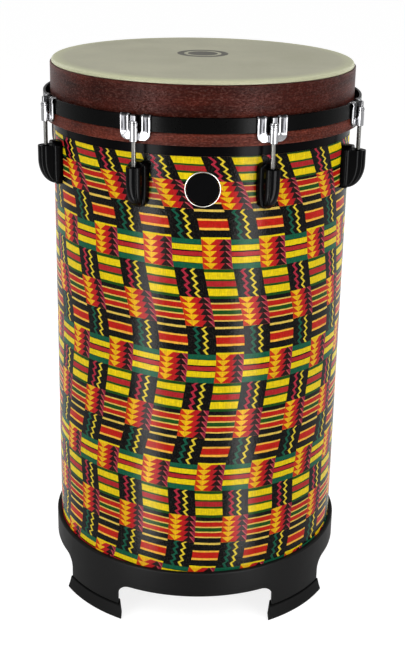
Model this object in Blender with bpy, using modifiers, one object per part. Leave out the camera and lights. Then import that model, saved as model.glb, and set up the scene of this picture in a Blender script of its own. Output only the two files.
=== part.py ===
"""Tube-shaped tunable hand drum: printed shell, wood-ringed head, tension rods and a four-legged base.

Metres, +Z up. The floor is z = 0, the drum's axis is the Z axis and its front faces -Y.
Radii are measured from that axis and heights from the floor.
"""

import math

import bmesh
import bpy
from mathutils import Matrix

# Clearances
GAP = 0.0003                     # between pieces that touch
SLIDING_CLEARANCE = 0.0005       # between the head ring and the shell that it slides on
ROD_CLEARANCE = 0.0004           # round a rod in its claw, washer and lug
SCREW_CLEARANCE = 0.0003         # round a screw in its hole
MERGE = 0.00001

# Shell
SHELL_RADIUS = 0.1740            # bare tube, outside
SHELL_WALL = 0.0080
NECK_WALL = 0.0042               # the tube is turned down to this under the head ring
BEARING_ROUND = 0.0012           # outer edge that the skin bends over
BEARING_BEVEL = 0.0015           # inner edge
NECK_EDGE_SHARE = 0.33           # most of the neck's wall that either edge may take
WRAP_THICKNESS = 0.0010          # lacquered cloth, and the trim band above it
PRINT_HEIGHT = 0.5029            # cloth that shows between the base and the trim band
TRIM_HEIGHT = 0.0125             # trim band that shows under the head ring
TRIM_TUCK = 0.0068               # trim band inside the head ring

# Head: skin, wood ring, ledge and steel hoop
HEAD_TRAVEL = 0.0060             # how far tightening pulls the head ring down
RING_HEIGHT = 0.0625
RING_SKIRT_WALL = 0.0022         # ring wall outside the trim band
RING_EDGE = 0.0008
FILM_RISE = 0.0049               # playing surface above the ring's top
FILM_THICKNESS = 0.0009
FILM_INSET = 0.0017              # ring top that shows outside the skin
FILM_SHOULDER = 0.0040
LEDGE_WIDTH = 0.0077
LEDGE_HEIGHT = 0.0133
LEDGE_EDGE = 0.0010
HOOP_THICKNESS = 0.0030
HOOP_HEIGHT = 0.0168

# Tension rods, claws and washers
ROD_COUNT = 8
ROD_RADIUS = 0.0025
ROD_FLANGE_RADIUS = 0.0043
ROD_FLANGE_HEIGHT = 0.0024
ROD_TIP_CHAMFER = 0.0007
ROD_TIP_CLEARANCE = 0.0006       # left under a rod that is screwed right in
KEY_SIZE = 0.0056                # square head that the tuning key turns
KEY_HEIGHT = 0.0062
KEY_SINK = 0.0006                # square head let into the flange
WASHER_RADIUS = 0.0050
WASHER_THICKNESS = 0.0012
BARREL_WALL = 0.0017             # claw barrel round the rod
BARREL_HEIGHT = 0.0180
BARREL_RISE = 0.0076             # barrel top above the hoop's lower edge
BARREL_STANDOFF = 0.0004         # barrel clear of the hoop, past the usual gap
PRONG_SLOT = 0.0024              # between the barrel and a prong
PRONG_WIDTH = 0.0104
PRONG_THICKNESS = 0.0024
HOOK_CAP = 0.0012                # hook above the hoop's upper edge
HOOK_BEND = 0.0044               # outer radius of the hook over the hoop
HOOK_DROP = 0.0060               # hook below the hoop's upper edge
HOOK_CLEARANCE = 0.0018          # hook clear of the wood ring
CLAW_DROP = 0.0100               # claw below the hoop's lower edge
CLAW_BRIDGE = 0.0085             # height of the bridge that joins the prongs
CLAW_CORNER = 0.0085

# Lugs, and the screws that hold them and the base from inside the shell
LUG_DROP = 0.0240                # lug top below the head ring
LUG_RADIUS = 0.0093              # half width, and front radius about the rod
LUG_HEIGHT = 0.0461
LUG_STRAIGHT = 0.0161            # upright part above the curved tail
LUG_TAIL_ANGLE = 80.0            # degrees of the tail's quarter ellipse that are kept
LUG_TAIL_TAPER = 0.35            # how quickly the tail narrows
LUG_PLATE_TAPER = 0.6            # the same, of the back plate
LUG_SIDE_SHARE = 0.17            # straight sides that the tail keeps behind its round front
LUG_END_MARGIN = 0.0015          # back plate below the tail
LUG_TIP_WALL = 0.0020            # wall in front of the bore's lower end
LUG_TAIL_DEPTH = 0.0050          # depth that the tail runs out to
LUG_PLATE_RISE = 0.0044          # back plate above the barrel
LUG_PLATE_THICKNESS = 0.0104
LUG_PLATE_MARGIN = 0.0020        # back plate wider than the barrel, each side
LUG_PLATE_WALL = 0.0055          # its straight side, next to the shell
LUG_PLATE_BEVEL = 0.0027         # its front narrower than that, each side
LUG_PLATE_STRAIGHT = 0.0280      # its upright part, below the lug's top
LUG_PLATE_CORNER = 0.0070
LUG_CORNER_SHARE = 0.9           # most of the front's half width that a corner may take
LUG_SCREW_DROP = 0.0180          # screw below the lug's top
LUG_SCREW_BITE = 0.0090          # screw inside the lug
LUG_SCREW_RADIUS = 0.0030
BASE_SCREW_RADIUS = 0.0020
BASE_SCREW_DROP = 0.0120         # screws below the base's top
BASE_SCREW_BITE = 0.0036         # screw inside the base's wall
SCREW_HEAD_MARGIN = 0.0028       # head wider than its shank, all round
SCREW_HEAD_HEIGHT = 0.0028
SCREW_HEAD_EDGE = 0.0012

# Badge
BADGE_RADIUS = 0.0195
BADGE_RIM_WIDTH = 0.0019
BADGE_PLATE_THICKNESS = 0.0010
BADGE_RIM_THICKNESS = 0.0016
BADGE_DROP = 0.0478              # centre below the head ring

# Base and feet
LEG_COUNT = 4
ARCH_HEIGHT = 0.0466
ARCH_HALF_WIDTH = 0.0936
ARCH_CORNER = 0.0140
BASE_BAND_HEIGHT = 0.0312        # base above its arches
BASE_WALL = 0.0054
BASE_EDGE = 0.0020
SHELF_OFFSET = 0.0010            # shelf above the arches
SHELF_THICKNESS = 0.0040
PEG_THICKNESS = 0.0060           # leg end inside its rubber foot
FOOT_HEIGHT = 0.0190
FOOT_SOLE = 0.0040
FOOT_WALL = 0.0022
FOOT_PROUD = 0.0006              # foot outside the leg, at its top
FOOT_FLARE = 0.0029              # more than that at the bottom
FOOT_EDGE = 0.0025
FOOT_END_WALL = 0.0024

# Facets
RING_STEPS = 72
ROD_STEPS = 12
SCREW_STEPS = 8
BADGE_STEPS = 36
LUG_ARC_STEPS = 8
LUG_TAIL_STEPS = 4
ARC_STEPS = 3
SHARP_ANGLE = 35.0               # degrees, above which an edge stays crisp

# Radii worked out from the inside of the drum outwards
SHELL_INNER = SHELL_RADIUS - SHELL_WALL
NECK_RADIUS = SHELL_INNER + NECK_WALL
WRAP_INNER = SHELL_RADIUS + GAP
WRAP_OUTER = WRAP_INNER + WRAP_THICKNESS
RING_INNER = NECK_RADIUS + SLIDING_CLEARANCE
RING_SKIRT_INNER = WRAP_OUTER + SLIDING_CLEARANCE
RING_OUTER = RING_SKIRT_INNER + RING_SKIRT_WALL
FILM_OUTER = RING_OUTER - FILM_INSET
LEDGE_INNER = RING_OUTER + GAP
LEDGE_OUTER = LEDGE_INNER + LEDGE_WIDTH
BORE_RADIUS = ROD_RADIUS + ROD_CLEARANCE
BARREL_RADIUS = BORE_RADIUS + BARREL_WALL
PRONG_INNER_EDGE = BARREL_RADIUS + PRONG_SLOT
PRONG_OUTER_EDGE = PRONG_INNER_EDGE + PRONG_WIDTH
HOOK_INNER = RING_OUTER + HOOK_CLEARANCE
HOOK_OUTER = HOOK_INNER + PRONG_THICKNESS
FACET_FLAT = math.cos(math.pi / RING_STEPS)      # middle of a facet over its corner
HOOP_INNER = math.hypot(HOOK_OUTER + GAP, PRONG_OUTER_EDGE) / FACET_FLAT
HOOP_OUTER = HOOP_INNER + HOOP_THICKNESS
CLAW_BACK = HOOP_OUTER + GAP
CLAW_FRONT = CLAW_BACK + PRONG_THICKNESS
ROD_CIRCLE = CLAW_BACK + BARREL_STANDOFF + BARREL_RADIUS
LUG_BACK = WRAP_OUTER + GAP
LUG_DEPTH = ROD_CIRCLE + LUG_RADIUS - LUG_BACK
LUG_TAIL_END = LUG_HEIGHT - LUG_END_MARGIN
SCREW_SEAT = SHELL_INNER * FACET_FLAT - GAP
BASE_INNER = WRAP_OUTER + GAP
BASE_OUTER = BASE_INNER + BASE_WALL
PEG_OUTER = BASE_OUTER - FOOT_WALL - GAP
PEG_INNER = PEG_OUTER - PEG_THICKNESS
LEG_INNER = PEG_INNER - FOOT_WALL - GAP

# Heights worked out from the floor upwards
PEG_BOTTOM = FOOT_SOLE + GAP
LEG_BOTTOM = FOOT_HEIGHT + GAP
SHELF_BOTTOM = ARCH_HEIGHT + SHELF_OFFSET
SHELF_TOP = SHELF_BOTTOM + SHELF_THICKNESS
SHELL_BOTTOM = SHELF_TOP + GAP
BASE_TOP = ARCH_HEIGHT + BASE_BAND_HEIGHT
TRIM_BOTTOM = BASE_TOP + PRINT_HEIGHT
RING_BOTTOM = TRIM_BOTTOM + TRIM_HEIGHT
TRIM_TOP = RING_BOTTOM + TRIM_TUCK
RING_SKIRT_TOP = TRIM_TOP + HEAD_TRAVEL + SLIDING_CLEARANCE
RING_TOP = RING_BOTTOM + RING_HEIGHT
LEDGE_TOP = RING_BOTTOM + LEDGE_HEIGHT
HOOP_BOTTOM = LEDGE_TOP + GAP
HOOP_TOP = HOOP_BOTTOM + HOOP_HEIGHT
FILM_TOP = RING_TOP + FILM_RISE
FILM_UNDERSIDE = FILM_TOP - FILM_THICKNESS
BEARING_EDGE = FILM_UNDERSIDE - GAP
BARREL_TOP = HOOP_BOTTOM + BARREL_RISE
BARREL_BOTTOM = BARREL_TOP - BARREL_HEIGHT
CLAW_BOTTOM = HOOP_BOTTOM - CLAW_DROP
CLAW_TOP = HOOP_TOP + GAP + HOOK_CAP
WASHER_BOTTOM = BARREL_TOP + GAP
WASHER_TOP = WASHER_BOTTOM + WASHER_THICKNESS
FLANGE_BOTTOM = WASHER_TOP + GAP
FLANGE_TOP = FLANGE_BOTTOM + ROD_FLANGE_HEIGHT
LUG_TOP = RING_BOTTOM - LUG_DROP
LUG_SCREW_HEIGHT = LUG_TOP - LUG_SCREW_DROP
BADGE_HEIGHT = RING_BOTTOM - BADGE_DROP
BASE_SCREW_HEIGHT = BASE_TOP - BASE_SCREW_DROP

# Angles from the front, and frames for pieces that are drawn at the front
ROD_ANGLES = [math.tau * (place + 0.5) / ROD_COUNT for place in range(ROD_COUNT)]
LEG_ANGLES = [math.tau * (place + 0.5) / LEG_COUNT for place in range(LEG_COUNT)]
LUG_SCREW_PLACES = [(LUG_SCREW_HEIGHT, angle) for angle in ROD_ANGLES]
BASE_SCREW_PLACES = [(BASE_SCREW_HEIGHT, angle) for angle in LEG_ANGLES]
SIDE_FRAME = Matrix(((0, 0, -1, 0), (-1, 0, 0, 0), (0, 1, 0, 0), (0, 0, 0, 1)))    # x outwards, y up
FRONT_FRAME = Matrix(((1, 0, 0, 0), (0, 0, -1, 0), (0, 1, 0, 0), (0, 0, 0, 1)))    # x across, y up
OUTWARD_FRAME = Matrix.Rotation(math.pi / 2.0, 4, "X")                            # z outwards


for old_object in list(bpy.data.objects):
    bpy.data.objects.remove(old_object, do_unlink=True)
PARTS = bpy.data.collections.new("hand_drum")
CUTTERS = bpy.data.collections.new("hand_drum_cutters")
bpy.context.scene.collection.children.link(PARTS)
bpy.context.scene.collection.children.link(CUTTERS)


def finish_material(name, colour, roughness, metallic):
    """Principled material of one piece."""
    material = bpy.data.materials.new(name)
    material.use_nodes = True
    shader = material.node_tree.nodes["Principled BSDF"]
    shader.inputs["Base Color"].default_value = (*colour, 1.0)
    shader.inputs["Roughness"].default_value = roughness
    shader.inputs["Metallic"].default_value = metallic
    return material


FINISHES = {
    "plywood": ((0.42, 0.27, 0.14), 0.7, 0.0),
    "print": ((0.45, 0.20, 0.03), 0.25, 0.0),
    "trim": ((0.01, 0.01, 0.01), 0.2, 0.0),
    "skin": ((0.56, 0.56, 0.42), 0.45, 0.0),
    "dark_wood": ((0.075, 0.022, 0.015), 0.4, 0.0),
    "red_wood": ((0.15, 0.04, 0.025), 0.4, 0.0),
    "black_steel": ((0.012, 0.012, 0.012), 0.4, 0.3),
    "chrome": ((0.75, 0.75, 0.75), 0.08, 1.0),
    "gloss_black": ((0.006, 0.006, 0.006), 0.15, 0.0),
    "zinc": ((0.5, 0.5, 0.48), 0.3, 1.0),
    "moulding": ((0.018, 0.018, 0.018), 0.55, 0.0),
    "rubber": ((0.008, 0.008, 0.008), 0.7, 0.0),
}


def smoothed(mesh):
    """Round faces shade smooth, and sharp edges stay crisp."""
    mesh.shade_smooth()
    mesh.set_sharp_from_angle(angle=math.radians(SHARP_ANGLE))
    return mesh


def add_part(obj, finish, parent, turn=0.0):
    """Put a finished piece into the drum, turned about the drum's axis, with its own material."""
    PARTS.objects.link(obj)
    obj.data.materials.clear()
    obj.data.materials.append(finish_material(obj.name, *FINISHES[finish]))
    obj.parent = parent
    obj.rotation_euler.z = turn
    return obj


def add_cutter(obj):
    """Keep a solid that only shapes other pieces."""
    CUTTERS.objects.link(obj)
    obj.hide_render = True
    obj.display_type = "WIRE"
    return obj


def solid(name, mesh):
    return bpy.data.objects.new(name, mesh)


def turned(name, profile, steps):
    """Solid turned about Z from (radius, height) points that run down the outside."""
    mesh = bpy.data.meshes.new(name)
    count = len(profile)
    edges = [(index, index + 1) for index in range(count - 1)]
    ring = profile[0][0] > MERGE
    if ring:
        edges.append((count - 1, 0))
    mesh.from_pydata([(radius, 0.0, height) for radius, height in profile], edges, [])
    obj = solid(name, mesh)
    screw = obj.modifiers.new("turn", "SCREW")
    screw.axis = "Z"
    screw.angle = math.tau
    screw.steps = steps
    screw.render_steps = steps
    screw.use_merge_vertices = True
    screw.merge_threshold = MERGE
    screw.use_smooth_shade = True
    return obj


def boolean(obj, operation, tool):
    modifier = obj.modifiers.new(operation.lower(), "BOOLEAN")
    modifier.operation = operation
    modifier.solver = "EXACT"
    modifier.object = tool


def baked(obj):
    """Mesh of an object with its modifiers applied. The object itself goes."""
    if not obj.users_collection:
        CUTTERS.objects.link(obj)
    depsgraph = bpy.context.evaluated_depsgraph_get()
    depsgraph.update()
    mesh = bpy.data.meshes.new_from_object(obj.evaluated_get(depsgraph))
    work = bmesh.new()
    work.from_mesh(mesh)
    bmesh.ops.remove_doubles(work, verts=work.verts, dist=MERGE)
    work.to_mesh(mesh)
    work.free()
    bpy.data.objects.remove(obj, do_unlink=True)
    return mesh


def combined(obj, operation, tool):
    """Boolean of two solids as one new object, which takes the place of both."""
    add_cutter(tool)
    boolean(obj, operation, tool)
    name = obj.name
    mesh = baked(obj)
    bpy.data.objects.remove(tool, do_unlink=True)
    return solid(name, mesh)


def prism(name, outline, depth, placement):
    """Flat outline, given depth about its own plane and put at a placement."""
    curve = bpy.data.curves.new(name, "CURVE")
    curve.dimensions = "2D"
    curve.fill_mode = "BOTH"
    curve.extrude = depth / 2.0
    spline = curve.splines.new("POLY")
    spline.points.add(len(outline) - 1)
    for point, (across, up) in zip(spline.points, outline):
        point.co = (across, up, 0.0, 1.0)
    spline.use_cyclic_u = True
    mesh = baked(solid(name + "_outline", curve))
    mesh.transform(placement)
    return solid(name, mesh)


def cylinder(name, radius, start, end, steps, placement):
    """Cylinder along Z from start to end, then put at a placement."""
    mesh = bpy.data.meshes.new(name)
    work = bmesh.new()
    bmesh.ops.create_cone(
        work,
        cap_ends=True,
        segments=steps,
        radius1=radius,
        radius2=radius,
        depth=end - start,
        matrix=placement @ Matrix.Translation((0.0, 0.0, (start + end) / 2.0)),
    )
    work.to_mesh(mesh)
    work.free()
    return solid(name, mesh)


def arc(centre, radius, start, end, steps=ARC_STEPS):
    """Points of an arc, with its angles in degrees."""
    points = []
    for step in range(steps + 1):
        angle = math.radians(start + (end - start) * step / steps)
        points.append((centre[0] + radius * math.cos(angle), centre[1] + radius * math.sin(angle)))
    return points


def at_rod(angle):
    """Placement of a rod's own axis."""
    return Matrix.Rotation(angle, 4, "Z") @ Matrix.Translation((0.0, -ROD_CIRCLE, 0.0))


def outward(radius, height, angle):
    """Placement whose Z axis points out of the shell."""
    return Matrix.Rotation(angle, 4, "Z") @ Matrix.Translation((0.0, -radius, height)) @ OUTWARD_FRAME


def cut_screw_holes(obj, name, places, radius, end):
    """Cut a straight hole at each place, from inside the shell out to a radius."""
    for place, (height, angle) in enumerate(places, start=1):
        start = SCREW_SEAT - SCREW_HEAD_HEIGHT
        hole = cylinder(
            f"{name}_{place}", radius + SCREW_CLEARANCE, 0.0, end - start, SCREW_STEPS,
            outward(start, height, angle),
        )
        boolean(obj, "DIFFERENCE", add_cutter(hole))


def make_shell(root):
    """Plywood tube with its turned neck, the cloth round it and the trim band."""
    wall_round = min(BEARING_ROUND, NECK_WALL * NECK_EDGE_SHARE)
    wall_bevel = min(BEARING_BEVEL, NECK_WALL * NECK_EDGE_SHARE)
    tube = turned("shell_tube", [
        (NECK_RADIUS - wall_round, BEARING_EDGE),
        (NECK_RADIUS, BEARING_EDGE - wall_round),
        (NECK_RADIUS, TRIM_TOP),
        (SHELL_RADIUS, TRIM_TOP),
        (SHELL_RADIUS, SHELL_BOTTOM),
        (SHELL_INNER, SHELL_BOTTOM),
        (SHELL_INNER, BEARING_EDGE - wall_bevel),
        (SHELL_INNER + wall_bevel, BEARING_EDGE),
    ], RING_STEPS)
    wrap = turned("shell_wrap", [
        (WRAP_OUTER, TRIM_BOTTOM - GAP),
        (WRAP_OUTER, SHELL_BOTTOM),
        (WRAP_INNER, SHELL_BOTTOM),
        (WRAP_INNER, TRIM_BOTTOM - GAP),
    ], RING_STEPS)
    trim = turned("trim_band", [
        (WRAP_OUTER, TRIM_TOP),
        (WRAP_OUTER, TRIM_BOTTOM),
        (WRAP_INNER, TRIM_BOTTOM),
        (WRAP_INNER, TRIM_TOP),
    ], RING_STEPS)
    for piece in (tube, wrap):
        cut_screw_holes(piece, f"{piece.name}_lug_hole", LUG_SCREW_PLACES, LUG_SCREW_RADIUS, LUG_BACK)
        cut_screw_holes(piece, f"{piece.name}_base_hole", BASE_SCREW_PLACES, BASE_SCREW_RADIUS, LUG_BACK)
    add_part(tube, "plywood", root)
    add_part(wrap, "print", root)
    add_part(trim, "trim", root)


def make_badge(root):
    """Round badge bent to the shell, with a raised rim."""
    centre = outward(0.0, BADGE_HEIGHT, 0.0)
    reach = WRAP_OUTER + BADGE_RADIUS
    plate_radius = BADGE_RADIUS - BADGE_RIM_WIDTH - GAP
    for name, finish, thickness in (
        ("badge_plate", "gloss_black", BADGE_PLATE_THICKNESS),
        ("badge_rim", "zinc", BADGE_RIM_THICKNESS),
    ):
        inner = WRAP_OUTER + GAP
        sheet = turned(name, [
            (inner + thickness, BADGE_HEIGHT + 2.0 * BADGE_RADIUS),
            (inner + thickness, BADGE_HEIGHT - 2.0 * BADGE_RADIUS),
            (inner, BADGE_HEIGHT - 2.0 * BADGE_RADIUS),
            (inner, BADGE_HEIGHT + 2.0 * BADGE_RADIUS),
        ], RING_STEPS)
        rim = name == "badge_rim"
        radius = BADGE_RADIUS if rim else plate_radius
        disc = cylinder(name + "_disc", radius, 0.0, reach, BADGE_STEPS, centre)
        piece = combined(sheet, "INTERSECT", disc)
        if rim:
            opening = cylinder("rim_opening", plate_radius + GAP, 0.0, reach, BADGE_STEPS, centre)
            piece = combined(piece, "DIFFERENCE", opening)
        add_part(piece, finish, root)


def make_head_film(root):
    """Playing skin with its rounded shoulder and the bead that seats on the ring."""
    bead_inner = NECK_RADIUS + SLIDING_CLEARANCE
    bead_bottom = RING_TOP + GAP
    shoulder = min(FILM_SHOULDER, FILM_TOP - bead_bottom, FILM_OUTER - bead_inner)
    centre = (FILM_OUTER - shoulder, FILM_TOP - shoulder)
    film = turned("head_film", [
        (0.0, FILM_TOP),
        *arc(centre, shoulder, 90.0, 0.0),
        (FILM_OUTER, bead_bottom),
        (bead_inner, bead_bottom),
        (bead_inner, FILM_UNDERSIDE),
        (0.0, FILM_UNDERSIDE),
    ], RING_STEPS)
    add_part(film, "skin", root)


def make_head_ring(head):
    """Wood ring, the ledge glued round its foot and the steel hoop that stands on the ledge."""
    ring = turned("head_ring", [
        (RING_OUTER - RING_EDGE, RING_TOP),
        (RING_OUTER, RING_TOP - RING_EDGE),
        (RING_OUTER, RING_BOTTOM),
        (RING_SKIRT_INNER, RING_BOTTOM),
        (RING_SKIRT_INNER, RING_SKIRT_TOP),
        (RING_INNER, RING_SKIRT_TOP),
        (RING_INNER, RING_TOP),
    ], RING_STEPS)
    ledge = turned("hoop_ledge", [
        (LEDGE_OUTER - LEDGE_EDGE, LEDGE_TOP),
        (LEDGE_OUTER, LEDGE_TOP - LEDGE_EDGE),
        (LEDGE_OUTER, RING_BOTTOM + LEDGE_EDGE),
        (LEDGE_OUTER - LEDGE_EDGE, RING_BOTTOM),
        (LEDGE_INNER, RING_BOTTOM),
        (LEDGE_INNER, LEDGE_TOP),
    ], RING_STEPS)
    hoop = turned("tension_hoop", [
        (HOOP_OUTER, HOOP_TOP),
        (HOOP_OUTER, HOOP_BOTTOM),
        (HOOP_INNER, HOOP_BOTTOM),
        (HOOP_INNER, HOOP_TOP),
    ], RING_STEPS)
    add_part(ring, "dark_wood", head)
    add_part(ledge, "red_wood", head)
    add_part(hoop, "black_steel", head)


def claw_mesh():
    """Two prongs hooked over the hoop, a bridge under it and a barrel for the rod."""
    under_hook = HOOP_TOP + GAP
    bend = min(HOOK_BEND, (CLAW_FRONT - HOOK_INNER) / 2.0)
    bend_height = CLAW_TOP - bend
    side = [
        (CLAW_FRONT, CLAW_BOTTOM - CLAW_CORNER),
        *arc((CLAW_FRONT - bend, bend_height), bend, 0.0, 90.0),
        *arc((HOOK_INNER + bend, bend_height), bend, 90.0, 180.0),
        (HOOK_INNER, HOOP_TOP - HOOK_DROP),
        (HOOK_OUTER, HOOP_TOP - HOOK_DROP),
        (HOOK_OUTER, under_hook),
        (CLAW_BACK, under_hook),
        (CLAW_BACK, CLAW_BOTTOM - CLAW_CORNER),
    ]
    corner_height = CLAW_BOTTOM + CLAW_CORNER
    slot_bottom = CLAW_BOTTOM + CLAW_BRIDGE
    above = CLAW_TOP + CLAW_CORNER
    front = [
        (-PRONG_OUTER_EDGE, above),
        *arc((CLAW_CORNER - PRONG_OUTER_EDGE, corner_height), CLAW_CORNER, 180.0, 270.0),
        *arc((PRONG_OUTER_EDGE - CLAW_CORNER, corner_height), CLAW_CORNER, 270.0, 360.0),
        (PRONG_OUTER_EDGE, above),
        (PRONG_INNER_EDGE, above),
        (PRONG_INNER_EDGE, slot_bottom),
        (-PRONG_INNER_EDGE, slot_bottom),
        (-PRONG_INNER_EDGE, above),
    ]
    middle = Matrix.Translation((0.0, -(HOOK_INNER + CLAW_FRONT) / 2.0, 0.0))
    claw = prism("claw", front, 2.0 * (CLAW_FRONT - HOOK_INNER), middle @ FRONT_FRAME)
    hooks = prism("claw_side", side, 4.0 * PRONG_OUTER_EDGE, SIDE_FRAME)
    claw = combined(claw, "INTERSECT", hooks)
    barrel = cylinder("claw_barrel", BARREL_RADIUS, BARREL_BOTTOM, BARREL_TOP, ROD_STEPS, at_rod(0.0))
    claw = combined(claw, "UNION", barrel)
    bore = cylinder("claw_bore", BORE_RADIUS, CLAW_BOTTOM - CLAW_CORNER, CLAW_TOP, ROD_STEPS, at_rod(0.0))
    return smoothed(baked(combined(claw, "DIFFERENCE", bore)))


def rod_tip_height():
    """Lower end of a rod, and of its bore: the tail of the lug leaves room for the full travel."""
    bore_front = ROD_CIRCLE + BORE_RADIUS + LUG_TIP_WALL - LUG_BACK
    share = (bore_front - LUG_TAIL_DEPTH) / (LUG_DEPTH - LUG_TAIL_DEPTH)
    tail = (LUG_TAIL_END - LUG_STRAIGHT) / math.sin(math.radians(LUG_TAIL_ANGLE))
    bore_bottom = LUG_TOP - LUG_STRAIGHT - tail * math.sin(math.acos(min(share, 1.0)))
    return bore_bottom + HEAD_TRAVEL + ROD_TIP_CLEARANCE, bore_bottom


def rod_mesh():
    """Tension rod about its own axis: square key head, flange and shank."""
    tip, _ = rod_tip_height()
    rod = turned("rod", [
        (0.0, FLANGE_TOP),
        (KEY_SIZE / 2.0, FLANGE_TOP),
        (ROD_FLANGE_RADIUS, FLANGE_BOTTOM + ROD_FLANGE_HEIGHT / 2.0),
        (ROD_FLANGE_RADIUS, FLANGE_BOTTOM),
        (ROD_RADIUS, FLANGE_BOTTOM),
        (ROD_RADIUS, tip + ROD_TIP_CHAMFER),
        (ROD_RADIUS - ROD_TIP_CHAMFER, tip),
        (0.0, tip),
    ], ROD_STEPS)
    key = bpy.data.meshes.new("rod_key")
    work = bmesh.new()
    height = KEY_HEIGHT + KEY_SINK
    size = Matrix.Diagonal((KEY_SIZE, KEY_SIZE, height, 1.0))
    middle = Matrix.Translation((0.0, 0.0, FLANGE_TOP - KEY_SINK + height / 2.0))
    bmesh.ops.create_cube(work, size=1.0, matrix=middle @ size)
    work.to_mesh(key)
    work.free()
    return smoothed(baked(combined(rod, "UNION", solid("rod_key", key))))


def washer_mesh():
    washer = turned("washer", [
        (WASHER_RADIUS, WASHER_TOP),
        (WASHER_RADIUS, WASHER_BOTTOM),
        (BORE_RADIUS, WASHER_BOTTOM),
        (BORE_RADIUS, WASHER_TOP),
    ], ROD_STEPS)
    return smoothed(baked(washer))


def lug_section(depth, half_width, height):
    """Outline of the barrel at a height: flat back inside the plate, straight sides and a rounded front."""
    back = LUG_BACK + LUG_TAIL_DEPTH / 2.0
    front = LUG_BACK + depth
    centre = max(front - half_width, back + (front - back) * LUG_SIDE_SHARE)
    outline = [(-half_width, back)]
    for step in range(LUG_ARC_STEPS + 1):
        angle = math.pi * (1.0 - step / LUG_ARC_STEPS)
        outline.append((half_width * math.cos(angle), centre + (front - centre) * math.sin(angle)))
    outline.append((half_width, back))
    return [(across, -radius, height) for across, radius in outline]


def lug_tail(straight, end, depth, taper):
    """Drop below the lug's top, depth and share of the width, along the quarter ellipse of a tail."""
    last = math.radians(LUG_TAIL_ANGLE)
    places = []
    for step in range(LUG_TAIL_STEPS + 1):
        angle = last * step / LUG_TAIL_STEPS
        drop = straight + (end - straight) * math.sin(angle) / math.sin(last)
        reach = LUG_TAIL_DEPTH + (depth - LUG_TAIL_DEPTH) * math.cos(angle)
        places.append((drop, reach, math.cos(angle) ** taper))
    return places


def lofted(name, sections):
    """Solid through outlines of equally many points."""
    work = bmesh.new()
    rows = [[work.verts.new(point) for point in section] for section in sections]
    for upper, lower in zip(rows, rows[1:]):
        for index in range(len(upper)):
            after = (index + 1) % len(upper)
            work.faces.new((upper[index], upper[after], lower[after], lower[index]))
    work.faces.new(rows[0])
    work.faces.new(rows[-1])
    bmesh.ops.recalc_face_normals(work, faces=work.faces)
    mesh = bpy.data.meshes.new(name)
    work.to_mesh(mesh)
    work.free()
    return solid(name, mesh)


def lug_body():
    """Bullet lofted down its straight barrel and along its tail."""
    sections = [lug_section(LUG_DEPTH, LUG_RADIUS, LUG_TOP)]
    for drop, depth, share in lug_tail(LUG_STRAIGHT, LUG_TAIL_END, LUG_DEPTH, LUG_TAIL_TAPER):
        sections.append(lug_section(depth, LUG_RADIUS * share, LUG_TOP - drop))
    return lofted("lug", sections)


def lug_plate():
    """Back plate with a bevelled front, rounded at the top and running out along the tail."""
    half = LUG_RADIUS + LUG_PLATE_MARGIN
    front = half - LUG_PLATE_BEVEL
    corner = min(LUG_PLATE_CORNER, front * LUG_CORNER_SHARE)
    shoulder = LUG_TOP + LUG_PLATE_RISE - corner
    places = []
    for across, height in arc((half - corner, shoulder), corner, 90.0, 0.0):
        places.append((across, across - LUG_PLATE_BEVEL, LUG_PLATE_THICKNESS if places else LUG_PLATE_WALL, height))
    for drop, depth, share in lug_tail(LUG_PLATE_STRAIGHT, LUG_HEIGHT, LUG_PLATE_THICKNESS, LUG_PLATE_TAPER):
        places.append((half * share, front * share, depth, LUG_TOP - drop))
    sections = []
    for across, inner, depth, height in places:
        wall = depth * LUG_PLATE_WALL / LUG_PLATE_THICKNESS
        side = [(across, 0.0), (across, wall), (inner, depth)]
        section = [(-x, -LUG_BACK - reach, height) for x, reach in side]
        sections.append(section + [(x, -LUG_BACK - reach, height) for x, reach in reversed(side)])
    return lofted("lug_plate", sections)


def lug_mesh():
    """Lug with its back plate, tapped bore for the rod and hole for its screw."""
    lug = combined(lug_body(), "UNION", lug_plate())
    _, bore_bottom = rod_tip_height()
    bore = cylinder("lug_bore", BORE_RADIUS, bore_bottom, LUG_TOP + LUG_PLATE_RISE, ROD_STEPS, at_rod(0.0))
    lug = combined(lug, "DIFFERENCE", bore)
    hole = cylinder(
        "lug_hole", LUG_SCREW_RADIUS + SCREW_CLEARANCE, -SHELL_WALL, LUG_SCREW_BITE + SCREW_CLEARANCE,
        SCREW_STEPS, outward(LUG_BACK, LUG_SCREW_HEIGHT, 0.0),
    )
    return smoothed(baked(combined(lug, "DIFFERENCE", hole)))


def screw_mesh(radius, end):
    """Wide-headed screw along Z, from its seat inside the shell to an outer radius."""
    head_radius = radius + SCREW_HEAD_MARGIN
    length = end - SCREW_SEAT
    screw = turned("screw", [
        (0.0, length),
        (radius, length),
        (radius, 0.0),
        (head_radius, 0.0),
        (head_radius, SCREW_HEAD_EDGE - SCREW_HEAD_HEIGHT),
        (head_radius - SCREW_HEAD_EDGE, -SCREW_HEAD_HEIGHT),
        (0.0, -SCREW_HEAD_HEIGHT),
    ], SCREW_STEPS)
    return smoothed(baked(screw))


def add_screws(name, mesh, places, parent):
    """One screw at each place, pointing out of the shell."""
    for place, (height, angle) in enumerate(places, start=1):
        copy = mesh.copy()
        copy.transform(outward(SCREW_SEAT, height, 0.0))
        add_part(solid(f"{name}_{place}", copy), "zinc", parent, angle)


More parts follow.
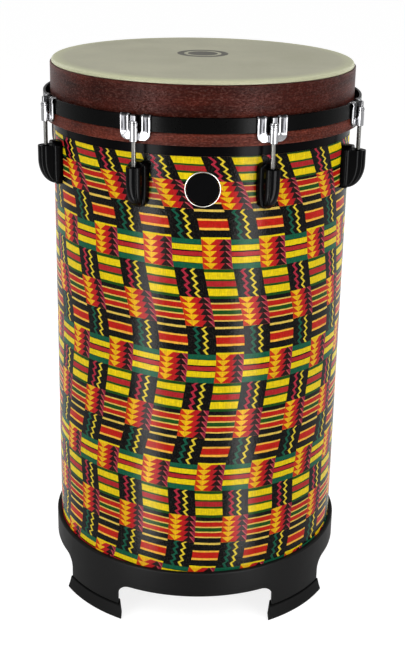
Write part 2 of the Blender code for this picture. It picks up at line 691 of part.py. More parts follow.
def make_tension_hardware(root, head):
    """Claws, rods and washers on the head, and lugs with their screws on the shell."""
    claw = claw_mesh()
    rod = rod_mesh()
    washer = washer_mesh()
    lug = lug_mesh()
    for place, angle in enumerate(ROD_ANGLES, start=1):
        axis = at_rod(angle).translation
        add_part(solid(f"claw_{place}", claw.copy()), "chrome", head, angle)
        add_part(solid(f"tension_rod_{place}", rod.copy()), "chrome", head, angle).location = axis
        add_part(solid(f"rod_washer_{place}", washer.copy()), "chrome", head, angle).location = axis
        add_part(solid(f"lug_{place}", lug.copy()), "gloss_black", root, angle)
    add_screws("lug_screw", screw_mesh(LUG_SCREW_RADIUS, LUG_BACK + LUG_SCREW_BITE), LUG_SCREW_PLACES, root)


def arch_outline():
    """Doorway with rounded upper corners, from below the floor."""
    across = ARCH_HALF_WIDTH - ARCH_CORNER
    up = ARCH_HEIGHT - ARCH_CORNER
    return [
        (-ARCH_HALF_WIDTH, -ARCH_CORNER),
        (ARCH_HALF_WIDTH, -ARCH_CORNER),
        *arc((across, up), ARCH_CORNER, 0.0, 90.0, 2 * ARC_STEPS),
        *arc((-across, up), ARCH_CORNER, 90.0, 180.0, 2 * ARC_STEPS),
    ]


def make_base(root):
    """Moulded base: a socket for the shell, a shelf under it and four legs left by two crossing arches."""
    base = turned("base_ring", [
        (BASE_INNER, BASE_TOP),
        *arc((BASE_OUTER - BASE_EDGE, BASE_TOP - BASE_EDGE), BASE_EDGE, 90.0, 0.0),
        (BASE_OUTER, LEG_BOTTOM),
        (PEG_OUTER, LEG_BOTTOM),
        (PEG_OUTER, PEG_BOTTOM),
        (PEG_INNER, PEG_BOTTOM),
        (PEG_INNER, LEG_BOTTOM),
        (LEG_INNER, LEG_BOTTOM),
        (LEG_INNER, SHELF_BOTTOM),
        (SHELL_INNER, SHELF_BOTTOM),
        (SHELL_INNER, SHELF_TOP),
        (BASE_INNER, SHELF_TOP),
    ], RING_STEPS)
    outline = arch_outline()
    for turn in range(LEG_COUNT // 2):
        quarter = Matrix.Rotation(math.tau * turn / LEG_COUNT, 4, "Z")
        tunnel = prism(f"arch_cut_{turn + 1}", outline, 4.0 * BASE_OUTER, quarter @ FRONT_FRAME)
        boolean(base, "DIFFERENCE", add_cutter(tunnel))
    bite = BASE_INNER + BASE_SCREW_BITE
    cut_screw_holes(base, "base_hole", BASE_SCREW_PLACES, BASE_SCREW_RADIUS, bite + SCREW_CLEARANCE)
    add_part(base, "moulding", root)
    add_screws("base_screw", screw_mesh(BASE_SCREW_RADIUS, bite), BASE_SCREW_PLACES, root)


def corner_block(name, near_top, near_bottom, far, bottom, top):
    """Block outside two square planes, from near to far along X and -Y, with a flared lower end."""
    mesh = bpy.data.meshes.new(name)
    work = bmesh.new()
    bmesh.ops.create_cube(work, size=2.0)
    for vert in work.verts:
        upper = vert.co.z > 0.0
        near = near_top if upper else near_bottom
        vert.co.x = far if vert.co.x > 0.0 else near
        vert.co.y = -far if vert.co.y < 0.0 else -near
        vert.co.z = top if upper else bottom
    work.to_mesh(mesh)
    work.free()
    return solid(name, mesh)


def foot_mesh():
    """Rubber shoe of the leg at +X and -Y, with a pocket for the leg's peg."""
    outer_top = BASE_OUTER + FOOT_PROUD
    outer_bottom = outer_top + FOOT_FLARE
    shoe = turned("foot", [
        (outer_top, FOOT_HEIGHT),
        (outer_bottom, FOOT_EDGE),
        (outer_bottom - FOOT_EDGE, 0.0),
        (LEG_INNER, 0.0),
        (LEG_INNER, FOOT_HEIGHT),
    ], RING_STEPS)
    far = 2.0 * BASE_OUTER
    end_top = ARCH_HALF_WIDTH - GAP - FOOT_END_WALL
    above = FOOT_HEIGHT + FOOT_SOLE
    wedge = corner_block("foot_wedge", end_top, end_top - FOOT_FLARE, far, -FOOT_SOLE, above)
    shoe = combined(shoe, "INTERSECT", wedge)
    pocket = turned("foot_pocket", [
        (PEG_OUTER + GAP, above),
        (PEG_OUTER + GAP, PEG_BOTTOM - GAP),
        (PEG_INNER - GAP, PEG_BOTTOM - GAP),
        (PEG_INNER - GAP, above),
    ], RING_STEPS)
    near = ARCH_HALF_WIDTH - GAP
    limits = corner_block("pocket_limits", near, near, far, -FOOT_SOLE, above + FOOT_SOLE)
    pocket = combined(pocket, "INTERSECT", limits)
    return smoothed(baked(combined(shoe, "DIFFERENCE", pocket)))


def make_feet(root):
    """One shoe per leg. The shoe is drawn at the first leg, so the others turn on from there."""
    shoe = foot_mesh()
    for place, angle in enumerate(LEG_ANGLES, start=1):
        add_part(solid(f"foot_{place}", shoe.copy()), "rubber", root, angle - LEG_ANGLES[0])


def make_drum():
    root = bpy.data.objects.new("drum_frame", None)
    head = bpy.data.objects.new("head_frame", None)
    PARTS.objects.link(root)
    PARTS.objects.link(head)
    head.parent = root
    make_shell(root)
    make_badge(root)
    make_head_film(root)
    make_head_ring(head)
    make_tension_hardware(root, head)
    make_base(root)
    make_feet(root)


make_drum()
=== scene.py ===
import math

import bmesh
import bpy
from mathutils import Matrix, Vector


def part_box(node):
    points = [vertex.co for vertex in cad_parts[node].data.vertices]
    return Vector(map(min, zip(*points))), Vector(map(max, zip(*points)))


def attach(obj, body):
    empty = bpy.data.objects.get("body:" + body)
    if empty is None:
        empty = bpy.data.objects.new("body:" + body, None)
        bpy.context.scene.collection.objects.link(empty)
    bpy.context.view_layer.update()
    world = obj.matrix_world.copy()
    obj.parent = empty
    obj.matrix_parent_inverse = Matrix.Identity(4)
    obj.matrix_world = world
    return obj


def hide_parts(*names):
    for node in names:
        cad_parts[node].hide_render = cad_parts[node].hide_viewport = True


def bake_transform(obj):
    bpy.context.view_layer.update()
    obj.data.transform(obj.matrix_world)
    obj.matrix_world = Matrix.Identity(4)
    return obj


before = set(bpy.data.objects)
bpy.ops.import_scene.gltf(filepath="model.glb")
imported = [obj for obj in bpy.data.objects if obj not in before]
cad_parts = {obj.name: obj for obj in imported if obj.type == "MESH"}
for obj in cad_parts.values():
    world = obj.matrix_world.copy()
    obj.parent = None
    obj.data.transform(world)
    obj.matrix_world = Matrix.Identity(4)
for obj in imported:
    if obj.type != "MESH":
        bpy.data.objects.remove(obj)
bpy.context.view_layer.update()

MM = 0.001

# Lengths in millimetres, as the solids have them
SHELL_INNER = 166.0
WRAP_OUTER = 175.3
TRIM_BOTTOM = 580.7
TRIM_TOP = 600.0
RING_INNER = 170.7
RING_SKIRT_INNER = 175.8
RING_OUTER = 178.0
RING_BOTTOM = 593.2
RING_SKIRT_TOP = 606.5
RING_TOP = 655.7
FILM_OUTER = 176.3
FILM_TOP = 660.6
FILM_UNDERSIDE = 659.7
FILM_SHOULDER = 4.0
LEDGE_INNER = 178.3
LEDGE_OUTER = 186.0
LEDGE_TOP = 606.5
HOOP_INNER = 183.5
HOOP_OUTER = 186.5
HOOP_BOTTOM = 606.8
HOOP_TOP = 623.6
ROD_COUNT = 8
ROD_CIRCLE = 191.802
ROD_RADIUS = 2.5
BORE_RADIUS = 2.9
ROD_TIP = 541.8
THREAD_PITCH = 0.8
THREAD_TOP = 605.0
FLANGE_BOTTOM = 616.2
FLANGE_TOP = 618.6
FLANGE_RADIUS = 4.3
KEY_HALF = 2.8
KEY_TOP = 624.8
WASHER_RADIUS = 5.0
WASHER_BOTTOM = 614.7
WASHER_TOP = 615.9
BARREL_RADIUS = 4.6
BARREL_BOTTOM = 596.4
BARREL_TOP = 614.4
PRONG_INNER = 7.0
PRONG_OUTER = 17.4
CLAW_FRONT = 189.2
CLAW_BOTTOM = 596.8
CLAW_TOP = 625.1
CLAW_BRIDGE = 8.5
CLAW_CORNER = 8.5
CLAW_THICKNESS = 2.4
HOOK_THICKNESS = 1.0
HOOK_INNER = 179.8
HOOK_BEND = 4.4
HOOK_END = 617.6
LUG_BACK = 175.6
LUG_FRONT = 201.1
LUG_RADIUS = 9.3
LUG_TOP = 569.2
LUG_STRAIGHT = 16.1
LUG_TAIL = 44.6
LUG_TAIL_DEPTH = 5.0
LUG_PLATE_TOP = 573.6
LUG_PLATE_HALF = 11.3
LUG_PLATE_STRAIGHT = 28.0
LUG_PLATE_TAIL = 46.1
LUG_PLATE_CORNER = 7.0
LUG_PLATE_THICKNESS = 10.4
BADGE_HEIGHT = 545.4
BADGE_RADIUS = 19.5
BADGE_OPENING = 17.6
BASE_INNER = 175.6
BASE_OUTER = 181.0
BASE_TOP = 77.8
BASE_EDGE = 2.0
LEG_COUNT = 4
LEG_INNER = 170.0
LEG_BOTTOM = 19.3
SHELF_BOTTOM = 47.6
SHELF_TOP = 51.6
ARCH_HEIGHT = 46.6
ARCH_HALF = 93.6
ARCH_CORNER = 14.0
FOOT_TOP = 19.0
FOOT_OUTER_TOP = 181.6
FOOT_OUTER_BOTTOM = 184.5
FOOT_END_TOP = 91.8  # these two a little nearer the legs than on the solids
FOOT_END_BOTTOM = 89.6

ROD_ANGLES = [math.tau * (place + 0.5) / ROD_COUNT for place in range(ROD_COUNT)]
LEG_ANGLES = [math.tau * (place + 0.5) / LEG_COUNT for place in range(LEG_COUNT)]
ROD_CENTRE = (0.0, -ROD_CIRCLE)  # of a rod drawn at the front
QUARTER = math.pi / 2.0
CREASE = math.radians(50.0)  # edges that bend more than this are crisp
NOISE_LOW = 0.3  # most of a noise lies between these
NOISE_HIGH = 0.7


def srgb(red, green, blue):
    """Linear colour of an 8-bit one."""
    linear = []
    for value in (red, green, blue):
        share = value / 255.0
        linear.append(share / 12.92 if share <= 0.04045 else ((share + 0.055) / 1.055) ** 2.4)
    return (*linear, 1.0)


class Value:
    """Output socket that takes part in arithmetic."""

    def __init__(self, graph, socket):
        self.graph = graph
        self.socket = socket

    def math(self, operation, *others):
        return self.graph.value("Math", self, *others, operation=operation)

    def __add__(self, other):
        return self.math("ADD", other)

    def __sub__(self, other):
        return self.math("SUBTRACT", other)

    def __mul__(self, other):
        return self.math("MULTIPLY", other)

    def above(self, other):
        return self.math("GREATER_THAN", other)

    def below(self, other):
        return self.math("LESS_THAN", other)

    def near(self, centre, reach):
        """1 within reach of the centre, else 0."""
        return (self - centre).math("ABSOLUTE").below(reach)

    def fraction(self):
        return self.math("FRACT")

    def opposite(self):
        """1 for 0 and 0 for 1."""
        return self * -1.0 + 1.0

    def hypotenuse(self, other):
        return (self * self + other * other).math("SQRT")


class Graph:
    """Node graph of a new material or world, ending in its shader."""

    def __init__(self, name, owners=bpy.data.materials, shader="Principled BSDF", **settings):
        self.owner = owners.new(name)
        self.owner.use_nodes = True
        self.tree = self.owner.node_tree
        self.shader = self.tree.nodes[shader]
        self.spot = None  # coordinates that its noises go by
        for label, value in settings.items():
            self.set(label, value)

    def set(self, label, value):
        self.feed(self.shader.inputs[label.replace("_", " ")], value)

    def node(self, kind, **settings):
        made = self.tree.nodes.new("ShaderNode" + kind)
        for label, value in settings.items():
            setattr(made, label, value)
        return made

    def feed(self, socket, value):
        if isinstance(value, Value):
            self.tree.links.new(value.socket, socket)
        else:
            socket.default_value = value

    def value(self, kind, *inputs, output=0, **settings):
        """Output of a new node with its first inputs fed. None leaves an input as it is."""
        made = self.node(kind, **settings)
        for socket, given in zip(made.inputs, inputs):
            if given is not None:
                self.feed(socket, given)
        return Value(self, made.outputs[output])

    def place(self):
        """Coordinates of the piece itself."""
        return self.value("TexCoord", output="Object")

    def axes(self, vector):
        made = self.node("SeparateXYZ")
        self.feed(made.inputs[0], vector)
        return [Value(self, socket) for socket in made.outputs]

    def around(self):
        """Arc length round the drum, height and distance from its axis."""
        across, along, height = self.axes(self.place())
        angle = across.math("ARCTAN2", along * -1.0)
        return self.value("CombineXYZ", angle * (RING_OUTER * MM), height, across.hypotenuse(along))

    def noise(self, scale, detail=3.0, roughness=0.55):
        """Noise over the material's spot, with one scale or its own along each axis."""
        spot = self.spot
        if isinstance(scale, tuple):
            spot = self.value("VectorMath", spot, scale, operation="MULTIPLY")
            scale = 1.0
        return self.value("TexNoise", spot, None, scale, detail, roughness)

    def ramp(self, value, stops, interpolation="LINEAR"):
        """Colour by value. Stops are (place, colour), in order."""
        made = self.node("ValToRGB")
        self.feed(made.inputs[0], value)
        made.color_ramp.interpolation = interpolation
        elements = made.color_ramp.elements
        for index in (0, -1):
            elements[index].position, elements[index].color = stops[index]
        for position, colour in stops[1:-1]:
            elements.new(position).color = colour
        return Value(self, made.outputs[0])

    def levels(self, value, start, end, low=NOISE_LOW, high=NOISE_HIGH):
        """start to end as value goes from low to high."""
        return self.value("MapRange", value, low, high, start, end)

    def mix(self, share, first, second):
        others = [None] * 5  # sockets of the other data types
        return self.value("Mix", share, *others, first, second, output=2, data_type="RGBA")

    def shaded(self, colour, factor):
        """The colour, times a factor."""
        given = colour if isinstance(colour, Value) else colour[:3]
        return self.value("VectorMath", given, None, None, factor, operation="SCALE")

    def bump(self, height, distance, strength, label="Normal"):
        """Surface relief, in metres between height 0 and 1."""
        made = self.node("Bump")
        for name, given in (("Strength", strength), ("Distance", distance), ("Height", height)):
            self.feed(made.inputs[name], given)
        self.set(label, Value(self, made.outputs[0]))


# Printed cloth. Its map gives the column across and the repeat of the print upwards
COLUMN_COUNT = 34
COLUMN_WIDTH = math.tau * WRAP_OUTER / COLUMN_COUNT
COLUMN_SWAY = 0.024  # unevenness, in columns and in repeats
ROW_DRIFT = 0.006
REPEAT = 134.0  # rows of one repeat of the print
BLOCK_START = 100.0  # triangles of the even columns; half a repeat earlier in the odd ones
TRIANGLE_HEIGHT = 6.75
TRIANGLE_ROWS = 5.03
LIGHT_CENTRE = 0.26  # triangles across a column
LIGHT_HALF = 0.24
DARK_CENTRE = 0.77
DARK_HALF = 0.19
DARK_TIP = 0.015
SLOPE_LINE = (0.805, 0.022)  # lines: centre and half width
LEFT_ZIGZAG = (0.34, 0.055)
RIGHT_ZIGZAG = (0.63, 0.046)
ZIGZAG_HEIGHT = 8.4
ZIGZAG_START = 3.0  # rows into a black block
ZIGZAG_END = 33.3
ZIGZAG_LAST = 0.748  # no zigzag above this share of a repeat
ZIGZAG_OUT = 0.63  # share of its height on which it goes to the right
ZIGZAG_SWING = 0.13
WEAVE_PITCH = 1.4
WEAVE_WANDER = 9.0
BLACK = srgb(4, 3, 2)
YELLOW = srgb(231, 203, 14)
GOLD = srgb(234, 181, 20)
PALE = srgb(225, 192, 85)
AMBER = srgb(242, 182, 62)
GREEN = srgb(11, 87, 60)
LEAF = srgb(20, 72, 16)
RED = srgb(187, 26, 16)
CRIMSON = srgb(174, 34, 38)


def stripes(*bands):
    """Stops of a stripe ramp: each band has the row at which it ends and its colour."""
    stops = []
    start = 0.0
    for end, colour in bands:
        stops.append((start / REPEAT, colour))
        start = end
    return stops


def cloth_material():
    graph = Graph(
        "printed_cloth", Roughness=0.5, Specular_IOR_Level=0.0, Coat_Weight=0.52, Coat_Roughness=0.15,
        Coat_IOR=1.2,
    )
    column, row, _ = graph.axes(graph.value("UVMap", uv_map="weave"))
    graph.spot = graph.around()
    sway = graph.noise(70.0, 1.0) - 0.5
    drift = graph.noise((95.0, 152.0, 95.0), 1.0) - 0.5
    column = column + sway * COLUMN_SWAY
    row = row + drift * ROW_DRIFT
    across = column.fraction()
    odd = (column * 0.5).fraction().above(0.5)
    turn = row.fraction()
    even_stripes = graph.ramp(turn, stripes(
        (3.2, LEAF), (11.0, YELLOW), (13.5, LEAF), (19.5, CRIMSON), (22.5, LEAF), (30.5, YELLOW),
        (34.0, LEAF), (38.5, BLACK), (40.0, PALE), (45.8, RED), (47.3, PALE), (52.0, LEAF), (53.4, PALE),
        (59.0, RED), (60.7, PALE), (66.8, BLACK), (69.3, PALE), (77.0, BLACK), (79.3, AMBER), (87.0, RED),
        (90.0, AMBER), (97.5, BLACK), (100.0, YELLOW), (134.0, RED),
    ), "CONSTANT")
    odd_stripes = graph.ramp(turn, stripes(
        (100.0, BLACK), (106.0, GREEN), (106.6, BLACK), (113.0, YELLOW), (114.4, BLACK), (119.0, CRIMSON),
        (120.0, BLACK), (127.0, YELLOW), (127.7, BLACK), (134.0, GREEN),
    ), "CONSTANT")
    # Zigzag lines on the black blocks of the odd columns
    half = (turn * 2.0).fraction() * (REPEAT / 2.0)
    phase = ((half - ZIGZAG_START) * (1.0 / ZIGZAG_HEIGHT)).fraction()
    back = phase.opposite() * (1.0 / (1.0 - ZIGZAG_OUT))
    sweep = (phase * (1.0 / ZIGZAG_OUT)).math("MINIMUM", back)
    centred = across - (sweep * ZIGZAG_SWING - ZIGZAG_SWING / 2.0)
    on_block = half.below(ZIGZAG_END) * turn.below(ZIGZAG_LAST)
    left_colour = graph.mix(turn.above(0.4), srgb(172, 38, 58), srgb(14, 84, 62))
    zigzag = graph.mix(centred.near(*LEFT_ZIGZAG) * on_block, odd_stripes, left_colour)
    zigzag = graph.mix(centred.near(*RIGHT_ZIGZAG) * on_block, zigzag, srgb(224, 198, 52))
    print_colour = graph.mix(odd, even_stripes, zigzag)
    # Rows of triangles
    since = (turn + odd * 0.5 - BLOCK_START / REPEAT) * (REPEAT / TRIANGLE_HEIGHT)
    in_block = since.above(0.0) * since.below(TRIANGLE_ROWS)
    depth = since.fraction()
    block = graph.ramp(across, [
        (0.0, srgb(197, 50, 12)), (0.38, srgb(190, 30, 18)), (0.62, srgb(180, 24, 30)),
        (0.86, srgb(145, 28, 54)), (1.0, srgb(136, 28, 56)),
    ])
    block = graph.mix((across - depth * DARK_HALF).near(*SLOPE_LINE), block, srgb(196, 84, 84))
    block = graph.mix(across.near(DARK_CENTRE, depth * DARK_HALF + DARK_TIP), block, srgb(30, 14, 12))
    block = graph.mix(across.near(LIGHT_CENTRE, depth.opposite() * LIGHT_HALF), block, GOLD)
    print_colour = graph.mix(in_block, print_colour, block)
    # Threads: fine uneven streaks along the warp, and the crossing weft
    warp = graph.noise((1100.0, 110.0, 1.0), 2.0)
    weft = graph.noise((140.0, 900.0, 1.0), 2.0)
    wear = graph.noise(16.0)
    tone = graph.levels(warp, 0.84, 1.2) * graph.levels(weft, 0.9, 1.13) * graph.levels(wear, 0.95, 1.04)
    # Pale specks mixed into the print's colour: painted glint of the lacquered threads
    painted_glint = graph.levels(graph.noise((560.0, 480.0, 1.0), 1.0), 0.0, 0.035, 0.5, 0.74)
    graph.set("Base Color", graph.mix(painted_glint, graph.shaded(print_colour, tone), srgb(176, 168, 150)))
    graph.bump((warp + weft) * 0.5, 0.00012, 0.6)
    # Lacquer that follows the weave
    along, up, _ = graph.axes(graph.spot)
    rate = math.tau / (WEAVE_PITCH * MM)
    weave = (along * rate + sway * WEAVE_WANDER).math("SINE")
    weave = weave * (up * rate + drift * WEAVE_WANDER).math("SINE")
    lumps = graph.noise((520.0, 300.0, 1.0), 1.0) + graph.noise((280.0, 560.0, 1.0), 1.0)
    graph.bump(weave * 0.035 + lumps * 0.35, 0.0005, 0.9, "Coat Normal")
    return graph.owner


def wood_material(name, dark, middle, light, sheen):
    graph = Graph(name, Specular_IOR_Level=0.056)
    graph.spot = graph.around()
    figure = graph.noise((9.0, 120.0, 120.0), 4.0, 0.6)
    fibre = graph.noise((60.0, 1500.0, 1500.0), 3.0, 0.65)
    pores = graph.noise((330.0, 1900.0, 1900.0), 2.0, 0.6)
    fleck = graph.noise((330.0, 560.0, 560.0), 2.0, 0.6)
    cloud = graph.noise(22.0, 2.0)
    colour = graph.ramp(figure * 0.65 + cloud * 0.35, [(0.32, dark), (0.5, middle), (0.7, light)])
    pore = graph.levels(pores, 0.0, 1.0, 0.56, 0.68)
    tone = graph.levels(fibre, 0.84, 1.14) * graph.levels(pore, 1.0, 0.66, 0.0, 1.0)
    tone = tone * graph.levels(fleck, 0.6, 1.4, 0.32, 0.68)
    # Pale flecks of the grain, which also stand for painted sparkle of its highlights
    fleck_and_painted_sparkle = graph.levels(fleck, 0.0, 0.2, 0.5, 0.72)
    graph.set("Base Color", graph.mix(fleck_and_painted_sparkle, graph.shaded(colour, tone), srgb(126, 104, 96)))
    graph.set("Roughness", graph.levels(fibre + pore * 0.3, sheen, sheen + 0.22, 0.3, 1.0))
    graph.bump(fibre * 0.4 + fleck * 0.8 - pore, 0.0003, 1.0)
    return graph.owner


# Rings printed on the skin, behind its middle
MARK_SHIFT = 26.0
MARK_RADIUS = 30.4
MARK_GAP = (20.0, 2.2)  # centre and half width
MARK_DEPTH = 0.6  # so that it doesn't show on the underside


def film_material():
    graph = Graph("skin", Specular_IOR_Level=0.3)
    graph.spot = graph.place()
    across, along, height = graph.axes(graph.spot)
    radius = across.hypotenuse(along) * (1.0 / MM)
    off_mark = across.hypotenuse(along - MARK_SHIFT * MM) * (1.0 / MM)
    cloud = graph.noise(14.0, 4.0, 0.6)
    fibre = graph.noise((260.0, 900.0, 260.0))
    grain = graph.noise(1600.0, 2.0)
    colour = graph.ramp(cloud, [
        (0.3, srgb(160, 158, 133)), (0.5, srgb(169, 167, 145)), (0.7, srgb(177, 175, 152)),
    ])
    # Paler towards the rim: painted highlight where the skin's shoulder catches the light
    edge = graph.levels(radius, 0.0, 1.0, 160.0, FILM_OUTER - 1.5)
    colour = graph.mix(edge, colour, srgb(187, 188, 155))
    worn = graph.levels(fibre, 0.955, 1.04, 0.35, 0.65) * graph.levels(grain, 0.96, 1.04)
    colour = graph.shaded(colour, worn)
    mark = off_mark.below(MARK_RADIUS) * off_mark.near(*MARK_GAP).opposite()
    mark = mark * graph.levels(grain, 0.8, 0.96, 0.35, 0.6) * height.above((FILM_TOP - MARK_DEPTH) * MM)
    graph.set("Base Color", graph.mix(mark, colour, srgb(66, 64, 58)))
    graph.set("Roughness", graph.levels(cloud, 0.42, 0.55))
    graph.bump(grain * 0.6 + fibre * 0.4, 0.00009, 0.6)
    return graph.owner


def coated_material(name, colour, roughness, level, pitch, relief):
    """Paint, plastic or rubber: a base colour with fine mottle, uneven gloss and a fine relief."""
    graph = Graph(name, Specular_IOR_Level=level)
    graph.spot = graph.place()
    grain = graph.noise(1.0 / (pitch * MM))
    smear = graph.noise(45.0, 4.0, 0.6)
    tone = graph.levels(grain, 0.86, 1.14) * graph.levels(smear, 0.93, 1.07)
    graph.set("Base Color", graph.shaded(srgb(*colour), tone))
    graph.set("Roughness", graph.levels(smear, roughness - 0.03, roughness + 0.03))
    graph.bump(grain, relief * MM, 0.8)
    return graph.owner


def metal_material(name, colour, roughness, spread, scratch):
    graph = Graph(name, Metallic=1.0)
    graph.spot = graph.place()
    smear = graph.noise(120.0, 4.0, 0.6)
    scuff = graph.noise((3000.0, 3000.0, 500.0), 2.0)
    graph.set("Base Color", graph.shaded(srgb(*colour), graph.levels(smear, 0.94, 1.03)))
    graph.set("Roughness", graph.levels(smear, roughness - spread, roughness + spread))
    graph.bump(scuff, scratch * MM, 0.5)
    return graph.owner


PLY_PAIR = 1.6  # thickness of two layers


def plywood_material():
    graph = Graph("plywood", Specular_IOR_Level=0.25)
    graph.spot = graph.around()
    radius = graph.axes(graph.spot)[2]
    figure = graph.noise((190.0, 7.0, 160.0), 5.0, 0.62)
    fibre = graph.noise((1700.0, 45.0, 1500.0), 2.0)
    colour = graph.ramp(figure, [
        (0.3, srgb(150, 108, 66)), (0.52, srgb(186, 144, 94)), (0.7, srgb(203, 165, 114)),
    ])
    layer = (radius * (1.0 / (PLY_PAIR * MM))).fraction().above(0.5)
    tone = graph.levels(layer, 0.8, 1.0, 0.0, 1.0) * graph.levels(fibre, 0.88, 1.08)
    graph.set("Base Color", graph.shaded(colour, tone))
    graph.set("Roughness", graph.levels(fibre, 0.55, 0.72))
    graph.bump(fibre, 0.00012, 0.6)
    return graph.owner


LOOKS = {
    "printed_cloth": cloth_material(),
    "dark_wood": wood_material("dark_wood", srgb(39, 10, 4), srgb(62, 18, 8), srgb(87, 30, 18), 0.32),
    "red_wood": wood_material("red_wood", srgb(61, 20, 12), srgb(89, 34, 21), srgb(120, 50, 34), 0.34),
    "skin": film_material(),
    "plywood": plywood_material(),
}
# Colour, roughness, specular level, and pitch and depth of the relief in millimetres
for look, *finish in (
    ("black_trim", (2, 1, 2), 0.24, 0.03, 0.9, 0.01),
    ("black_steel", (2, 2, 2), 0.28, 0.038, 0.6, 0.012),
    ("gloss_black", (4, 4, 5), 0.13, 0.04, 0.8, 0.004),
    ("moulding", (16, 16, 16), 0.52, 0.06, 0.9, 0.06),
    ("foot_rubber", (11, 11, 11), 0.68, 0.07, 0.5, 0.05),
    # painted shade on the shoes' top strips and ends
    ("dark_rubber", (2, 2, 2), 0.7, 0.03, 0.5, 0.05),
):
    LOOKS[look] = coated_material(look, *finish)
# Colour, roughness, how much it varies, and depth of the scratches in millimetres
for look, *finish in (
    ("chrome", (150, 150, 152), 0.08, 0.03, 0.002),
    # Darker chrome: painted shade in the claws' grooves and a painted dark reflection on the key heads' flats
    ("satin_chrome", (62, 62, 64), 0.3, 0.05, 0.006),
    ("rod_steel", (122, 121, 118), 0.3, 0.08, 0.006),
    ("screw_steel", (178, 176, 170), 0.32, 0.08, 0.006),
):
    LOOKS[look] = metal_material(look, *finish)


def add_object(name, data):
    made = bpy.data.objects.new(name, data)
    bpy.context.scene.collection.objects.link(made)
    return made


def add_piece(name, shape, look, body=None, node=None, turn=0.0, weighted=True):
    """Mesh piece of a shape, with its finish, the body that it rides on and the node that it stands for."""
    mesh = bpy.data.meshes.new(name)
    mesh.from_pydata(shape.turned(turn), [], shape.faces)
    work = bmesh.new()
    work.from_mesh(mesh)
    bmesh.ops.recalc_face_normals(work, faces=work.faces)
    work.to_mesh(mesh)
    work.free()
    mesh.polygons.foreach_set("use_smooth", [True] * len(mesh.polygons))
    mesh.set_sharp_from_angle(angle=CREASE)
    mesh.materials.append(LOOKS[look])
    for index, (other, faces) in enumerate(shape.looks.items(), 1):
        mesh.materials.append(LOOKS[other])
        for face in faces:
            mesh.polygons[face].material_index = index
    piece = add_object(name, mesh)
    if weighted:
        piece.modifiers.new("even_normals", "WEIGHTED_NORMAL").keep_sharp = True
    if body:
        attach(piece, body)
    if node:
        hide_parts(node)
    return piece


def turns(steps):
    """Angles of equal steps round a circle."""
    return [math.tau * step / steps for step in range(steps)]


def round_point(radius, angle, height, centre=(0.0, 0.0)):
    """Point at an angle from the front, round an upright axis."""
    return (centre[0] + radius * math.sin(angle), centre[1] - radius * math.cos(angle), height)


class Shape:
    """Points, in millimetres, and faces of a piece, from closed forms. Faces may have other finishes."""

    def __init__(self):
        self.points = []
        self.faces = []
        self.looks = {}

    def tube(self, rings, around=True, look=None, strips=(), plain=()):
        """Skin over rings of equally many points; around closes the rings into a loop, without caps.
        The strips of faces that are numbered have a finish of their own, except after the plain rings."""
        first = len(self.points)
        count = len(rings[0])
        for ring in rings:
            self.points.extend(ring)
        total = len(rings)
        for place in range(total if around else total - 1):
            near = first + place * count
            far = first + (place + 1) % total * count
            for index in range(count):
                after = (index + 1) % count
                if index in strips and place not in plain:
                    self.looks.setdefault(look, []).append(len(self.faces))
                self.faces.append((near + index, near + after, far + after, far + index))
        if not around:
            last = first + (total - 1) * count
            self.faces.append(tuple(range(first, first + count)))
            self.faces.append(tuple(range(last, last + count)))

    def lathe(self, outline, steps, centre=(0.0, 0.0)):
        """Ring with a closed outline of (radius, height) round an upright axis."""
        self.tube([[round_point(r, turn, z, centre) for r, z in outline] for turn in turns(steps)])

    def spindle(self, outline, steps, centre=(0.0, 0.0)):
        """Solid turned from an open outline of (radius, height), flat at both ends."""
        rings = [[round_point(r, turn, z, centre) for turn in turns(steps)] for r, z in outline]
        self.tube(rings, around=False)

    def turned(self, angle):
        """The points in metres, turned about the drum's axis."""
        turn = Matrix.Rotation(angle, 3, "Z")
        return [turn @ Vector(point) * MM for point in self.points]


def arc(centre, radius, start, end, steps):
    """Points of an arc, with angles in degrees."""
    points = []
    for step in range(steps + 1):
        angle = math.radians(start + (end - start) * step / steps)
        points.append((centre[0] + radius * math.cos(angle), centre[1] + radius * math.sin(angle)))
    return points


def rounded(corners, radius):
    """Closed outline with its corners rounded off. A corner may give its own radius as a third number."""
    steps = 3
    longest = 0.45  # share of a side that a corner may take up
    outline = []
    for index, corner in enumerate(corners):
        here = Vector(corner[:2])
        sides = [Vector(corners[other % len(corners)][:2]) - here for other in (index - 1, index + 1)]
        size = corner[2] if len(corner) > 2 else radius
        half = sides[0].angle(sides[1]) / 2.0
        reach = min(size / math.tan(half), *[longest * side.length for side in sides])
        size = reach * math.tan(half)
        ways = [side.normalized() for side in sides]
        middle = here + (ways[0] + ways[1]).normalized() * (size / math.sin(half))
        first, last = [(here + way * reach - middle).normalized() for way in ways]
        for step in range(steps + 1):
            outline.append(tuple(middle + first.slerp(last, step / steps) * size))
    return outline


def ring_shape(inner, outer, bottom, top, edge, steps, centre=(0.0, 0.0)):
    """Ring with a box section and rounded edges."""
    shape = Shape()
    corners = [(inner, top), (outer, top), (outer, bottom), (inner, bottom)]
    shape.lathe(rounded(corners, edge), steps, centre)
    return shape


# The shell: cloth, trim band and badge. How far the columns of the print wander sideways, by height
SWAY = [
    (585.0, -37.5), (560.0, -26.0), (535.0, -14.0), (510.0, -4.6), (490.0, -0.7), (460.0, 1.6), (430.0, 7.7),
    (400.0, 14.9), (370.0, 18.8), (340.0, 18.8), (310.0, 15.6), (280.0, 11.0), (250.0, 7.4), (220.0, 0.2),
    (190.0, -3.2), (150.0, -1.0), (120.0, -2.1), (95.0, -5.4), (75.0, -10.2),
]
# Row of the print, by height
ROWS = [
    (583.5, -134.0), (572.5, -123.0), (555.0, -103.5), (549.0, -94.0), (529.4, -73.3), (492.5, -36.5),
    (456.0, 0.0), (358.5, 97.5), (321.0, 134.0), (221.5, 231.5), (185.0, 268.0), (85.2, 365.5), (49.0, 402.0),
]
